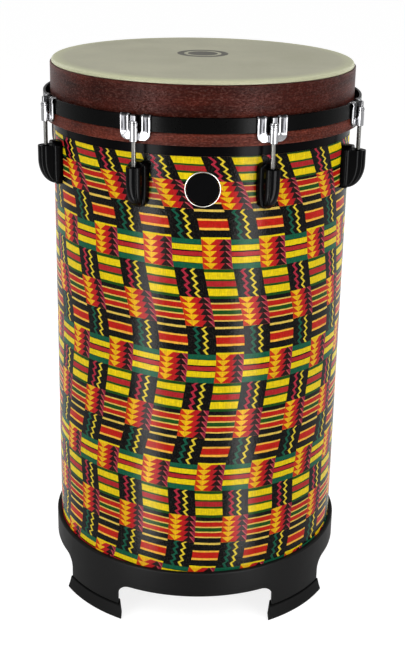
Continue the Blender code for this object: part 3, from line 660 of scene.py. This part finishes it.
# How much wider the columns stand on both sides, by height
SPREAD = [
    (585.0, 0.01), (560.0, 0.01), (520.0, 0.0), (480.0, 0.0), (440.0, 0.013), (400.0, 0.008),
    (360.0, -0.014), (320.0, -0.014), (280.0, -0.011), (240.0, -0.005), (200.0, -0.01), (160.0, -0.022),
    (120.0, -0.031), (75.0, -0.036),
]
# How much higher the rows are on both sides, and at a place left of the front
SIDE_RISE = [(585.0, 1.5), (240.0, 1.5), (160.0, 4.0), (120.0, 5.0), (75.0, 5.0)]
LEFT_RISE = [(585.0, 0.5), (480.0, 1.8), (400.0, 2.6), (320.0, 4.0), (75.0, 4.0)]
LEFT_PLACE = -90.0
LEFT_REACH = 50.0
FRONT_COLUMN = 16.0  # where those heights were taken, right of the front
SLANT = 0.022  # of the rows, at a height, and how it grows downwards
SLANT_HEIGHT = 490.0
SLANT_GROWTH = 0.0000527
WRAP_THICKNESS = 1.0
WRAP_STEPS = 216
WRAP_ROWS = 96
SHEET_EDGE = 0.02  # strip of the bake map for the hidden side


def between(table, place):
    """Value at a place in a table that falls in its first column, carried on past its ends."""
    for (high, first), (low, second) in zip(table, table[1:]):
        if place >= low:
            break
    return first + (second - first) * (high - place) / (high - low)


def print_place(angle, height):
    """Column and repeat of the print at an angle from the front and a height."""
    aside = WRAP_OUTER * math.sin(angle)
    slant = SLANT + SLANT_GROWTH * (SLANT_HEIGHT - height)
    level = height + slant * (aside - FRONT_COLUMN) - between(SIDE_RISE, height) * math.sin(angle) ** 2
    off_left = (WRAP_OUTER * angle - LEFT_PLACE) / LEFT_REACH
    level -= between(LEFT_RISE, height) * math.exp(-off_left ** 2)
    along = WRAP_OUTER * angle - between(SWAY, level) - between(SPREAD, height) * aside
    return along / COLUMN_WIDTH, between(ROWS, level) / REPEAT


def make_cloth():
    low, high = [corner.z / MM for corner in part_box("shell_wrap")]
    inner = WRAP_OUTER - WRAP_THICKNESS
    heights = [high + (low - high) * step / WRAP_ROWS for step in range(WRAP_ROWS + 1)]
    shape = Shape()
    shape.lathe([(WRAP_OUTER, z) for z in heights] + [(inner, low), (inner, high)], WRAP_STEPS)
    cloth = add_piece("shell_cloth", shape, "printed_cloth", weighted=False)
    mesh = cloth.data
    weave = mesh.uv_layers.new(name="weave")
    sheet = mesh.uv_layers.new(name="OFBake")
    for face in mesh.polygons:
        middle = math.atan2(face.center.x, -face.center.y)
        for loop in face.loop_indices:
            spot = mesh.vertices[mesh.loops[loop].vertex_index].co
            angle = math.atan2(spot.x, -spot.y)
            if abs(angle - middle) > math.pi:
                angle += math.copysign(math.tau, middle)
            height = spot.z / MM
            weave.uv[loop].vector = print_place(angle, height)
            up = SHEET_EDGE / 2.0
            if math.hypot(spot.x, spot.y) / MM > WRAP_OUTER - WRAP_THICKNESS / 2.0:
                up = SHEET_EDGE + (1.0 - SHEET_EDGE) * (height - low) / (high - low)
            sheet.uv[loop].vector = (0.5 + angle / math.tau, up)
    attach(cloth, "shell")
    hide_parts("shell_wrap")


def make_trim():
    shape = ring_shape(WRAP_OUTER - WRAP_THICKNESS, WRAP_OUTER, TRIM_BOTTOM, TRIM_TOP, 0.3, WRAP_STEPS)
    add_piece("trim_gloss", shape, "black_trim", "shell", "trim_band")


BADGE_STEPS = 96
BADGE_GAP = 0.3  # between the cloth and the badge
BADGE_PLATE = 17.2
BADGE_CENTRE = 0.4
BADGE_BRIGHT = range(3, 8)  # points of the rim that stay metal; the inside of its opening is painted black as shade


def badge_sheet(outline, hole, plain=()):
    """Round sheet bent to the shell, of (radius, rise) points. It is black, except after the plain points."""
    rings = []
    for radius, rise in outline:
        ring = []
        for turn in turns(BADGE_STEPS):
            angle = radius * math.sin(turn) / WRAP_OUTER
            height = BADGE_HEIGHT + radius * math.cos(turn)
            ring.append(round_point(WRAP_OUTER + BADGE_GAP + rise, angle, height))
        rings.append(ring)
    shape = Shape()
    shape.tube(rings, around=hole, look="gloss_black", strips=range(BADGE_STEPS), plain=plain)
    return shape


def make_badge():
    plate = badge_sheet([
        (BADGE_CENTRE, 0.0), (BADGE_PLATE, 0.0), (BADGE_PLATE, 0.7), (BADGE_PLATE - 0.3, 1.0),
        (BADGE_PLATE - 2.0, 1.0), (BADGE_CENTRE, 1.0),
    ], False)
    add_piece("badge_face", plate, "gloss_black", "shell", "badge_plate")
    # The inside of the rim's opening and its inner edge are gloss black: painted shade
    rim = badge_sheet([
        (BADGE_OPENING, 0.0), (BADGE_OPENING, 1.1), (BADGE_OPENING + 0.3, 1.5), (BADGE_OPENING + 0.8, 1.6),
        (BADGE_RADIUS - 0.8, 1.6), (BADGE_RADIUS - 0.3, 1.4), (BADGE_RADIUS, 0.9), (BADGE_RADIUS, 0.0),
    ], True, BADGE_BRIGHT)
    add_piece("badge_bezel", rim, "screw_steel", "shell", "badge_rim")


# The head: film, wood ring and ledge, steel hoop
RING_STEPS = 240
FILM_CENTRE = 0.5
FILM_FLAT = 165.0
BEAD_BOTTOM = RING_TOP + 0.3


def make_head():
    shoulder = (FILM_OUTER - FILM_SHOULDER, FILM_TOP - FILM_SHOULDER)
    shape = Shape()
    shape.spindle([
        *[(r, FILM_TOP) for r in (FILM_CENTRE, 30.0, 60.0, 90.0, 120.0, 150.0, FILM_FLAT)],
        *arc(shoulder, FILM_SHOULDER, 90.0, 0.0, 10),
        (FILM_OUTER, BEAD_BOTTOM + 0.3), (FILM_OUTER - 0.3, BEAD_BOTTOM), (RING_INNER, BEAD_BOTTOM),
        (RING_INNER, FILM_UNDERSIDE - 1.5), (RING_INNER - 0.2, FILM_UNDERSIDE),
        (FILM_FLAT, FILM_UNDERSIDE), (90.0, FILM_UNDERSIDE), (FILM_CENTRE, FILM_UNDERSIDE),
    ], RING_STEPS)
    film = add_piece("playing_skin", shape, "skin", weighted=False)
    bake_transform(film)
    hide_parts("head_film")

    shape = Shape()
    shape.lathe(rounded([
        (RING_INNER, RING_TOP, 0.5), (RING_OUTER, RING_TOP, 0.9), (RING_OUTER, RING_BOTTOM, 0.6),
        (RING_SKIRT_INNER, RING_BOTTOM), (RING_SKIRT_INNER, RING_SKIRT_TOP, 0.3),
        (RING_INNER, RING_SKIRT_TOP),
    ], 0.4), RING_STEPS)
    add_piece("wood_ring", shape, "dark_wood", "head", "head_ring")
    shape = ring_shape(LEDGE_INNER, LEDGE_OUTER, RING_BOTTOM, LEDGE_TOP, 1.2, RING_STEPS)
    add_piece("wood_ledge", shape, "red_wood", "head", "hoop_ledge")
    shape = ring_shape(HOOP_INNER, HOOP_OUTER, HOOP_BOTTOM, HOOP_TOP, 0.8, RING_STEPS)
    add_piece("steel_hoop", shape, "black_steel", "head", "tension_hoop")


# Tension hardware, drawn at the front and turned into place
TURNED_STEPS = 32
HOOK_BASE = CLAW_TOP - HOOK_BEND  # where the hook bends off
CLAW_RISE = HOOK_BASE - CLAW_BOTTOM
HOOK_ARC = HOOK_BEND * QUARTER
HOOK_FLAT = CLAW_FRONT - HOOK_INNER - 2.0 * HOOK_BEND
HOOK_STEPS = 6
CLAW_CORNER_STEPS = 8
CLAW_INNER_CORNER = 4.0
CLAW_KNEE = CLAW_BRIDGE + CLAW_INNER_CORNER
# Front of a prong: share of its width, and depth below its highest line
GROOVE = [
    (0.0, 1.05), (0.03, 0.35), (0.09, 0.04), (0.15, 0.16), (0.25, 0.66), (0.36, 1.02), (0.47, 1.14),
    (0.58, 1.02), (0.69, 0.66), (0.78, 0.16), (0.86, 0.04), (0.95, 0.35), (1.0, 1.05),
]
GROOVE_INSIDE = range(2, 11)  # points between its two edges
GROOVE_STRIPS = range(3, 9)  # strips in its hollow, painted darker as shade
GROOVE_RINGS = 18  # rings of the claw before its groove runs out, from each tip
GROOVE_END = [1.0, 0.84, 0.5, 0.16, 0.0]
CLAW_CROWN = 0.1  # roundness of the front where the groove has run out
CLAW_BACKS = [(1.0, 2.0), (0.94, 2.4), (0.5, 2.4), (0.06, 2.4), (0.0, 2.0)]
BARREL_RING = 0.35  # depth of the ring cut round a claw's barrel


def hook_bend(middle, turn):
    """Place on one of the two bends of the hook, as hook_line gives it."""
    facing = (math.cos(turn), math.sin(turn))
    return middle + HOOK_BEND * facing[0], HOOK_BASE + HOOK_BEND * facing[1], facing, HOOK_THICKNESS


def hook_line(along):
    """Front of the claw at a length up from its lower edge: radius, height, direction and thickness."""
    shrink = (CLAW_THICKNESS - HOOK_THICKNESS) / 3.0
    if along <= CLAW_RISE:
        thick = min(CLAW_THICKNESS, HOOK_THICKNESS + (CLAW_RISE - along) * shrink)
        return CLAW_FRONT, CLAW_BOTTOM + along, (1.0, 0.0), thick
    along -= CLAW_RISE
    if along <= HOOK_ARC:
        return hook_bend(CLAW_FRONT - HOOK_BEND, along / HOOK_BEND)
    along -= HOOK_ARC
    if along <= HOOK_FLAT:
        return CLAW_FRONT - HOOK_BEND - along, CLAW_TOP, (0.0, 1.0), HOOK_THICKNESS
    along -= HOOK_FLAT
    if along <= HOOK_ARC:
        return hook_bend(HOOK_INNER + HOOK_BEND, QUARTER + along / HOOK_BEND)
    along -= HOOK_ARC
    thick = min(CLAW_THICKNESS, HOOK_THICKNESS + along * shrink)
    return HOOK_INNER, HOOK_BASE - along, (-1.0, 0.0), thick


def claw_edges():
    """Outer and inner edge of the flat U, from one tip to the other, as (across, along) pairs."""
    end = CLAW_RISE + 2.0 * HOOK_ARC + HOOK_FLAT + (HOOK_BASE - HOOK_END)
    levels = [end, end - 1.5]
    for start in (CLAW_RISE + HOOK_ARC + HOOK_FLAT, CLAW_RISE):
        levels += [start + HOOK_ARC * (1.0 - step / HOOK_STEPS) for step in range(HOOK_STEPS + 1)]
    levels += [CLAW_RISE - (CLAW_RISE - CLAW_KNEE) * step / 3.0 for step in range(1, 4)]
    outer = [(-PRONG_OUTER, level) for level in levels]
    inner = [(-PRONG_INNER, level) for level in levels]
    straight = CLAW_KNEE - CLAW_CORNER
    curve = CLAW_CORNER * QUARTER
    for step in range(1, CLAW_CORNER_STEPS + 1):
        gone = (straight + curve) * step / CLAW_CORNER_STEPS
        if gone <= straight:
            outer.append((-PRONG_OUTER, CLAW_KNEE - gone))
        else:
            turn = (gone - straight) / CLAW_CORNER
            across = CLAW_CORNER - PRONG_OUTER - CLAW_CORNER * math.cos(turn)
            outer.append((across, CLAW_CORNER - CLAW_CORNER * math.sin(turn)))
    centre = (CLAW_INNER_CORNER - PRONG_INNER, CLAW_KNEE)
    inner += arc(centre, CLAW_INNER_CORNER, 180.0, 270.0, CLAW_CORNER_STEPS)[1:]
    for edge, level in ((outer, 0.0), (inner, CLAW_BRIDGE)):
        edge.append((edge[-1][0] / 2.0, level))
        edge += [(0.0, level)] + [(-across, along) for across, along in reversed(edge)]
    return outer, inner


def claw_shape():
    """Grooved U plate hooked over the hoop, and the barrel that the rod goes through."""
    rings = []
    outer_edge, inner_edge = claw_edges()
    for place, (outer, inner) in enumerate(zip(outer_edge, inner_edge)):
        from_tip = min(place, len(outer_edge) - 1 - place)
        left = GROOVE_END[min(max(from_tip - GROOVE_RINGS, 0), len(GROOVE_END) - 1)]
        ring = []
        for index, (share, depth) in enumerate(GROOVE + CLAW_BACKS):
            across = outer[0] + (inner[0] - outer[0]) * share
            radius, height, facing, thick = hook_line(outer[1] + (inner[1] - outer[1]) * share)
            sunk = depth * thick / CLAW_THICKNESS
            if index in GROOVE_INSIDE:
                sunk = sunk * left + CLAW_CROWN * (2.0 * share - 1.0) ** 2 * (1.0 - left)
            ring.append((across, sunk * facing[0] - radius, height - sunk * facing[1]))
        rings.append(ring)
    shape = Shape()
    plain = range(GROOVE_RINGS + 2, len(rings) - GROOVE_RINGS - 3)
    shape.tube(rings, around=False, look="satin_chrome", strips=GROOVE_STRIPS, plain=plain)
    shape.lathe(rounded([
        (BORE_RADIUS, BARREL_TOP), (BARREL_RADIUS, BARREL_TOP, 0.5), (BARREL_RADIUS, BARREL_TOP - 2.0),
        (BARREL_RADIUS - BARREL_RING, BARREL_TOP - 2.3), (BARREL_RADIUS - BARREL_RING, BARREL_TOP - 2.9),
        (BARREL_RADIUS, BARREL_TOP - 3.2), (BARREL_RADIUS, BARREL_BOTTOM, 0.7), (BORE_RADIUS, BARREL_BOTTOM),
    ], 0.2), TURNED_STEPS, ROD_CENTRE)
    return shape


THREAD_STEPS = 16
THREAD_SLICES = round((THREAD_TOP - ROD_TIP) / (THREAD_PITCH / 4.0))
THREAD_DEPTH = 0.34
TIP_SHARE = 0.72  # of the rod's radius, at its tip
TIP_SLOPE = 0.4
KEY_FLATS = range(3, 16, 4)  # strips of the key head between its rounded corners, painted dark as a reflection
KEY_ROUND = 0.28


def rod_shape():
    """Square key head on a flange, and a rod with its thread."""
    shape = Shape()
    shape.spindle([
        (ROD_RADIUS, THREAD_TOP), (ROD_RADIUS, FLANGE_BOTTOM), (FLANGE_RADIUS - 0.3, FLANGE_BOTTOM),
        (FLANGE_RADIUS, FLANGE_BOTTOM + 0.3), (FLANGE_RADIUS, FLANGE_TOP - 1.2),
        (FLANGE_RADIUS - 0.3, FLANGE_TOP - 0.6), (FLANGE_RADIUS - 0.9, FLANGE_TOP - 0.15),
        (FLANGE_RADIUS - 1.6, FLANGE_TOP),
    ], TURNED_STEPS, ROD_CENTRE)
    rings = []
    for half, height in (
        (KEY_HALF, FLANGE_TOP - 0.6), (KEY_HALF, KEY_TOP - 1.5), (KEY_HALF - 0.25, KEY_TOP - 0.9),
        (KEY_HALF - 0.75, KEY_TOP - 0.35), (KEY_HALF - 1.5, KEY_TOP - 0.06), (KEY_HALF - 2.2, KEY_TOP),
    ):
        square = rounded([(-half, -half), (half, -half), (half, half), (-half, half)], KEY_ROUND * half)
        rings.append([(x, y - ROD_CIRCLE, height) for x, y in square])
    shape.tube(rings, around=False, look="satin_chrome", strips=KEY_FLATS)
    rings = []
    for place in range(THREAD_SLICES + 1):
        height = ROD_TIP + (THREAD_TOP - ROD_TIP) * place / THREAD_SLICES
        taper = min(1.0, TIP_SHARE + TIP_SLOPE * (height - ROD_TIP))
        ring = []
        for turn in turns(THREAD_STEPS):
            wave = 0.5 + 0.5 * math.cos(math.tau * (height / THREAD_PITCH) + turn)
            ring.append(round_point((ROD_RADIUS - THREAD_DEPTH * wave) * taper, turn, height, ROD_CENTRE))
        rings.append(ring)
    shape.tube(rings, around=False, look="rod_steel", strips=range(THREAD_STEPS))
    return shape


COLLAR_RADIUS = BORE_RADIUS + 1.2
COLLAR_BOTTOM = LUG_TOP - 1.5
COLLAR_TOP = LUG_TOP + 0.5
LUG_SIDE_SHARE = 0.17
LUG_TAIL_ANGLE = 80.0
LUG_TAIL_TAPER = 0.35
LUG_PLATE_TAPER = 0.6
LUG_PLATE_CUT = 4.9  # how far the plate's top leans back, and how soon that ends
LUG_PLATE_CUT_STEP = 0.4
LUG_STEPS = 40
LUG_TAIL_STEPS = 18
LUG_RECESS = 1.0  # side panels below the front band
LUG_BAND = 38.0  # half of the front band, in degrees
LUG_BAND_EDGE = 4.5
# Upper edge of the barrel: drop and inset
LUG_CROWN = [
    (0.5, 3.2), (0.45, 1.6), (0.0, 1.1), (0.0, 0.7), (0.2, 0.2), (0.7, 0.0), (LUG_STRAIGHT / 2.0, 0.0),
]
# Side of the back plate: inset, and share of its depth
LUG_FLANK = [
    (0.3, 0.0), (0.0, 0.04), (0.0, 0.5), (0.18, 0.535), (0.3, 0.6), (0.45, 0.7), (0.8, 0.82), (1.35, 0.92),
    (2.0, 0.98), (2.7, 1.0),
]


def lug_ring(depth, half, height, inset):
    """Outline of the lug's barrel at a height: round front band, sunk side panels, back inside the plate."""
    back = LUG_BACK + LUG_TAIL_DEPTH / 2.0
    front = LUG_BACK + depth
    centre = max(front - half, back + (front - back) * LUG_SIDE_SHARE)
    ring = [(-half + LUG_RECESS + inset, -back, height)]
    for step in range(LUG_STEPS + 1):
        angle = math.pi * (1.0 - step / LUG_STEPS)
        off_front = abs(math.degrees(angle) - 90.0)
        sunk = inset + LUG_RECESS * min(1.0, max(0.0, (off_front - LUG_BAND) / LUG_BAND_EDGE))
        across = (half - sunk) * math.cos(angle)
        ring.append((across, -(centre + (front - centre - sunk) * math.sin(angle)), height))
    ring.append((half - LUG_RECESS - inset, -back, height))
    return ring


def lug_tail(straight, end, depth, taper):
    """Drop below the lug's top, depth and share of the width, along the quarter ellipse of a tail."""
    last = math.radians(LUG_TAIL_ANGLE)
    places = []
    for step in range(LUG_TAIL_STEPS + 1):
        angle = last * step / LUG_TAIL_STEPS
        drop = straight + (end - straight) * math.sin(angle) / math.sin(last)
        reach = LUG_TAIL_DEPTH + (depth - LUG_TAIL_DEPTH) * math.cos(angle)
        places.append((drop, reach, math.cos(angle) ** taper))
    return places


def lug_shape():
    """Bullet-shaped barrel with a curved tail, on a back plate with a rounded front edge."""
    depth = LUG_FRONT - LUG_BACK
    rings = [lug_ring(depth, LUG_RADIUS, LUG_TOP - drop, inset) for drop, inset in LUG_CROWN]
    for drop, reach, share in lug_tail(LUG_STRAIGHT, LUG_TAIL, depth, LUG_TAIL_TAPER):
        rings.append(lug_ring(reach, LUG_RADIUS * share, LUG_TOP - drop, 0.0))
    shape = Shape()
    shape.tube(rings, around=False)
    corner = (LUG_PLATE_HALF - LUG_PLATE_CORNER, LUG_PLATE_TOP - LUG_PLATE_CORNER)
    places = []
    for step, (across, height) in enumerate(arc(corner, LUG_PLATE_CORNER, 90.0, 0.0, 12)):
        cut = max(0.0, 1.0 - LUG_PLATE_CUT_STEP * step) ** 2
        places.append((across, LUG_PLATE_THICKNESS - LUG_PLATE_CUT * cut, height, 1.0))
    tail = lug_tail(LUG_PLATE_STRAIGHT, LUG_PLATE_TAIL, LUG_PLATE_THICKNESS, LUG_PLATE_TAPER)
    places += [(LUG_PLATE_HALF * share, reach, LUG_TOP - drop, share) for drop, reach, share in tail]
    rings = []
    for across, reach, height, share in places:
        side = [(across - inset * share, reach * part) for inset, part in LUG_FLANK]
        ring = [(-x, -LUG_BACK - out, height) for x, out in side]
        rings.append(ring + [(x, -LUG_BACK - out, height) for x, out in reversed(side)])
    shape.tube(rings, around=False)
    return shape


def make_hardware():
    claw, rod, lug = claw_shape(), rod_shape(), lug_shape()
    washer = ring_shape(BORE_RADIUS, WASHER_RADIUS, WASHER_BOTTOM, WASHER_TOP, 0.35, TURNED_STEPS, ROD_CENTRE)
    collar = ring_shape(BORE_RADIUS, COLLAR_RADIUS, COLLAR_BOTTOM, COLLAR_TOP, 0.3, TURNED_STEPS, ROD_CENTRE)
    for place, angle in enumerate(ROD_ANGLES, 1):
        add_piece(f"chrome_claw_{place}", claw, "chrome", "head", f"claw_{place}", angle)
        add_piece(f"key_rod_{place}", rod, "chrome", f"rod_{place}", f"tension_rod_{place}", angle)
        add_piece(f"key_washer_{place}", washer, "chrome", "head", f"rod_washer_{place}", angle)
        add_piece(f"gloss_lug_{place}", lug, "gloss_black", "shell", f"lug_{place}", angle)
        add_piece(f"lug_collar_{place}", collar, "black_steel", "shell", turn=angle)


# The base and its rubber shoes
ARCH_STEPS = 14
LEG_STEPS = 12
BASE_ROUND = 0.8
FOOT_STEPS = 24
FOOT_ROUND = 1.2
FOOT_EDGE = 2.5
FOOT_SHADE_STRIP = 2.0  # strip below the top of a shoe, painted dark as shade


def quarter_angle(end, radius, share):
    """Angle at a share of the way between two neighbouring arches, whose sides are end from the middle."""
    start = math.asin(end / radius)
    return start + (QUARTER - 2.0 * start) * share


def make_base():
    crown = arc((BASE_OUTER - BASE_EDGE, BASE_TOP - BASE_EDGE), BASE_EDGE, 90.0, 0.0, 5)
    shelf = [(SHELL_INNER, SHELF_BOTTOM), (SHELL_INNER, SHELF_TOP)]
    inside = [(LEG_INNER, SHELF_BOTTOM), *shelf, (BASE_INNER, SHELF_TOP)]
    knee = ARCH_HEIGHT - ARCH_CORNER
    flat = ARCH_HALF - ARCH_CORNER
    half = [(flat * step / ARCH_STEPS, ARCH_HEIGHT) for step in range(ARCH_STEPS + 1)]
    half += arc((flat, knee), ARCH_CORNER, 90.0, 0.0, 10)[1:]
    arch = [(-x, z) for x, z in reversed(half[1:])] + half
    leg = [(BASE_OUTER, knee), (BASE_OUTER, LEG_BOTTOM), (LEG_INNER, LEG_BOTTOM), (LEG_INNER, knee)]
    shape = Shape()

    def section(quarter, edge, across=None, share=None):
        """Adds a section with its lower edge, in an arch or a leg, and gives its point numbers."""
        start = len(shape.points)
        for radius, height in [(BASE_INNER, BASE_TOP), *crown, *edge, *inside]:
            angle = math.asin(across / radius) if share is None else quarter_angle(ARCH_HALF, radius, share)
            shape.points.append(round_point(radius, angle + quarter * QUARTER, height))
        return list(range(start, len(shape.points)))

    def join(near, far):
        for index in range(len(near)):
            after = (index + 1) % len(near)
            shape.faces.append((near[index], near[after], far[after], far[index]))

    loops = []
    for quarter in range(LEG_COUNT):
        arches = [section(quarter, [(BASE_OUTER, z), (LEG_INNER, z)], across=x) for x, z in arch[1:-1]]
        legs = [section(quarter, leg, share=step / LEG_STEPS) for step in range(LEG_STEPS + 1)]
        loops.append((arches, legs))
    wall = 1 + len(crown)
    for quarter, (arches, legs) in enumerate(loops):
        for row in (arches, legs):
            for near, far in zip(row, row[1:]):
                join(near, far)
        before = loops[quarter - 1][1][-1]
        for leg_end, arch_end in ((legs[0], arches[-1]), (before, arches[0])):
            # A leg's first and last section are also an arch's, without the part below the knee.
            join([*leg_end[:wall + 1], *leg_end[wall + 3:]], arch_end)
            shape.faces.append(tuple(leg_end[wall:wall + 4]))
    soften(add_piece("moulded_base", shape, "moulding", "shell", "base_ring"), BASE_ROUND)


def soften(piece, width):
    """Rounds the crisp edges of a piece."""
    bevel = piece.modifiers.new("round_edges", "BEVEL")
    bevel.width = width * MM
    bevel.segments = 3
    bevel.limit_method = "ANGLE"
    bevel.angle_limit = CREASE
    piece.modifiers.move(len(piece.modifiers) - 1, 0)


def make_feet():
    outline = [
        (LEG_INNER, FOOT_TOP), (FOOT_OUTER_TOP, FOOT_TOP), (FOOT_OUTER_TOP + 0.3, FOOT_TOP - FOOT_SHADE_STRIP),
        (FOOT_OUTER_TOP + 1.4, FOOT_TOP / 2.0),
        *arc((FOOT_OUTER_BOTTOM - FOOT_EDGE, FOOT_EDGE), FOOT_EDGE, 0.0, -90.0, 5), (LEG_INNER, 0.0),
    ]
    rings = []
    for step in range(FOOT_STEPS + 1):
        ring = []
        for radius, height in outline:
            end = FOOT_END_BOTTOM + (FOOT_END_TOP - FOOT_END_BOTTOM) * height / FOOT_TOP
            angle = quarter_angle(end, radius, step / FOOT_STEPS) - QUARTER / 2.0
            ring.append(round_point(radius, angle, height))
        rings.append(ring)
    shape = Shape()
    shape.tube(rings, around=False, look="dark_rubber", strips=(0, 1))
    # The two ends are painted dark as shade as well
    shape.looks["dark_rubber"] += [len(shape.faces) - 2, len(shape.faces) - 1]
    for place, angle in enumerate(LEG_ANGLES, 1):
        shoe = add_piece(f"rubber_shoe_{place}", shape, "foot_rubber", "shell", f"foot_{place}", angle)
        soften(shoe, FOOT_ROUND)


BARE_SOLIDS = {"shell_tube": "plywood", "lug_screw": "screw_steel", "base_screw": "screw_steel"}


def dress_solids():
    """Materials of the solids that show as they are."""
    for start, look in BARE_SOLIDS.items():
        for name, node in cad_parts.items():
            if name.startswith(start):
                for slot in node.material_slots:
                    slot.material = LOOKS[look]


# Studio, in metres
FLOOR_REACH = 60.0
FLOOR_PAPER = (0.42, 0.42, 0.42, 1.0)
FLOOR_GLOW = 0.82  # as the camera and reflections see it
SKY = [(0.03, (1.0, 1.0, 1.0, 1.0)), (0.18, (0.4, 0.4, 0.4, 1.0))]
SOFT_BOX = (1.2, 1.6)
STRIP = (0.075, 0.66)
STRIP_HEIGHT = 0.33
OVERHEAD = (1.4, 1.4)


def make_floor():
    """Paper that looks white, but lights the drum from below as grey paper would."""
    mesh = bpy.data.meshes.new("floor")
    sides = (-FLOOR_REACH, FLOOR_REACH)
    mesh.from_pydata([(x, y, 0.0) for x in sides for y in sides], [], [(0, 2, 3, 1)])
    floor = add_object("floor", mesh)
    graph = Graph("studio_floor")
    rays = graph.node("LightPath").outputs
    seen = Value(graph, rays["Is Camera Ray"])
    for name in ("Is Glossy Ray", "Is Transmission Ray"):
        seen = seen.math("MAXIMUM", Value(graph, rays[name]))
    paper = graph.value("BsdfDiffuse", FLOOR_PAPER)
    glow = graph.value("Emission", None, seen * FLOOR_GLOW)
    graph.tree.nodes.remove(graph.shader)
    graph.feed(graph.tree.nodes["Material Output"].inputs["Surface"], graph.value("AddShader", paper, glow))
    mesh.materials.append(graph.owner)


def add_light(name, place, target, size, level):
    """Soft box of a given radiance, facing a point."""
    lamp = bpy.data.lights.new(name, "AREA")
    lamp.shape = "RECTANGLE"
    lamp.size, lamp.size_y = size
    lamp.energy = level * math.pi * size[0] * size[1]
    light = add_object(name, lamp)
    light.location = place
    light.rotation_euler = (Vector(target) - Vector(place)).to_track_quat("-Z", "Y").to_euler()
    light.visible_camera = False
    return light


def make_studio():
    graph = Graph("studio", bpy.data.worlds, "Background")
    height = graph.axes(graph.value("TexCoord", output="Generated"))[2]
    # The camera sees white; reflections see it fade upwards
    camera_ray = graph.value("LightPath", output="Is Camera Ray")
    graph.set("Color", graph.ramp(height, SKY).math("MAXIMUM", camera_ray))
    bpy.context.scene.world = graph.owner
    for name, side, place, target in (
        ("left", -1.0, (-0.166, -0.294), (-0.057, -0.166)), ("right", 1.0, (0.148, -0.294), (0.051, -0.168)),
    ):
        add_light("soft_box_" + name, (1.4 * side, -1.3, 1.3), (0.0, 0.0, 0.4), SOFT_BOX, 3.3)
        add_light("back_box_" + name, (1.4 * side, 1.3, 1.3), (0.0, 0.0, 0.4), SOFT_BOX, 1.6)
        # A narrow strip for the highlights alone
        strip = add_light("strip_" + name, (*place, STRIP_HEIGHT), (*target, STRIP_HEIGHT), STRIP, 14.5)
        strip.visible_diffuse = False
    add_light("overhead", (0.0, 0.1, 1.9), (0.0, 0.0, 0.66), OVERHEAD, 0.25)


# View fitted to the photo: degrees, pixels of the photo, and units of the wood ring's radius
VIEW_UNIT = 0.178  # in metres
VIEW_PLACE = (-0.0296, -8.0366, 3.2097 + 1.631)
VIEW_ANGLES = (19.369, 1.080, 0.400)  # pitch, roll and yaw
VIEW_TURN = -0.5  # of the whole view round the drum
VIEW_FOCAL = 1212.62
VIEW_SHIFT = -28.714
PHOTO_HEIGHT = 658.0
SENSOR = 36.0


def make_camera():
    pitch, roll, yaw = [math.radians(angle) for angle in VIEW_ANGLES]
    ahead = Vector((math.sin(yaw) * math.cos(pitch), math.cos(yaw) * math.cos(pitch), -math.sin(pitch)))
    level = Vector((math.cos(yaw), -math.sin(yaw), 0.0))
    up = level.cross(ahead)
    right = math.cos(roll) * level + math.sin(roll) * up
    top = math.cos(roll) * up - math.sin(roll) * level
    placed = Matrix((right, top, -ahead)).transposed().to_4x4()
    placed.translation = Vector(VIEW_PLACE) * VIEW_UNIT
    lens = bpy.data.cameras.new("camera")
    lens.sensor_width = SENSOR
    lens.lens = VIEW_FOCAL * SENSOR / PHOTO_HEIGHT
    lens.shift_y = VIEW_SHIFT / PHOTO_HEIGHT
    camera = add_object("camera", lens)
    camera.matrix_world = Matrix.Rotation(math.radians(VIEW_TURN), 4, "Z") @ placed
    bpy.context.scene.camera = camera
    bpy.context.scene.view_settings.view_transform = "Standard"


make_camera()
make_cloth()
make_trim()
make_badge()
make_head()
make_hardware()
make_base()
make_feet()
dress_solids()
make_floor()
make_studio()
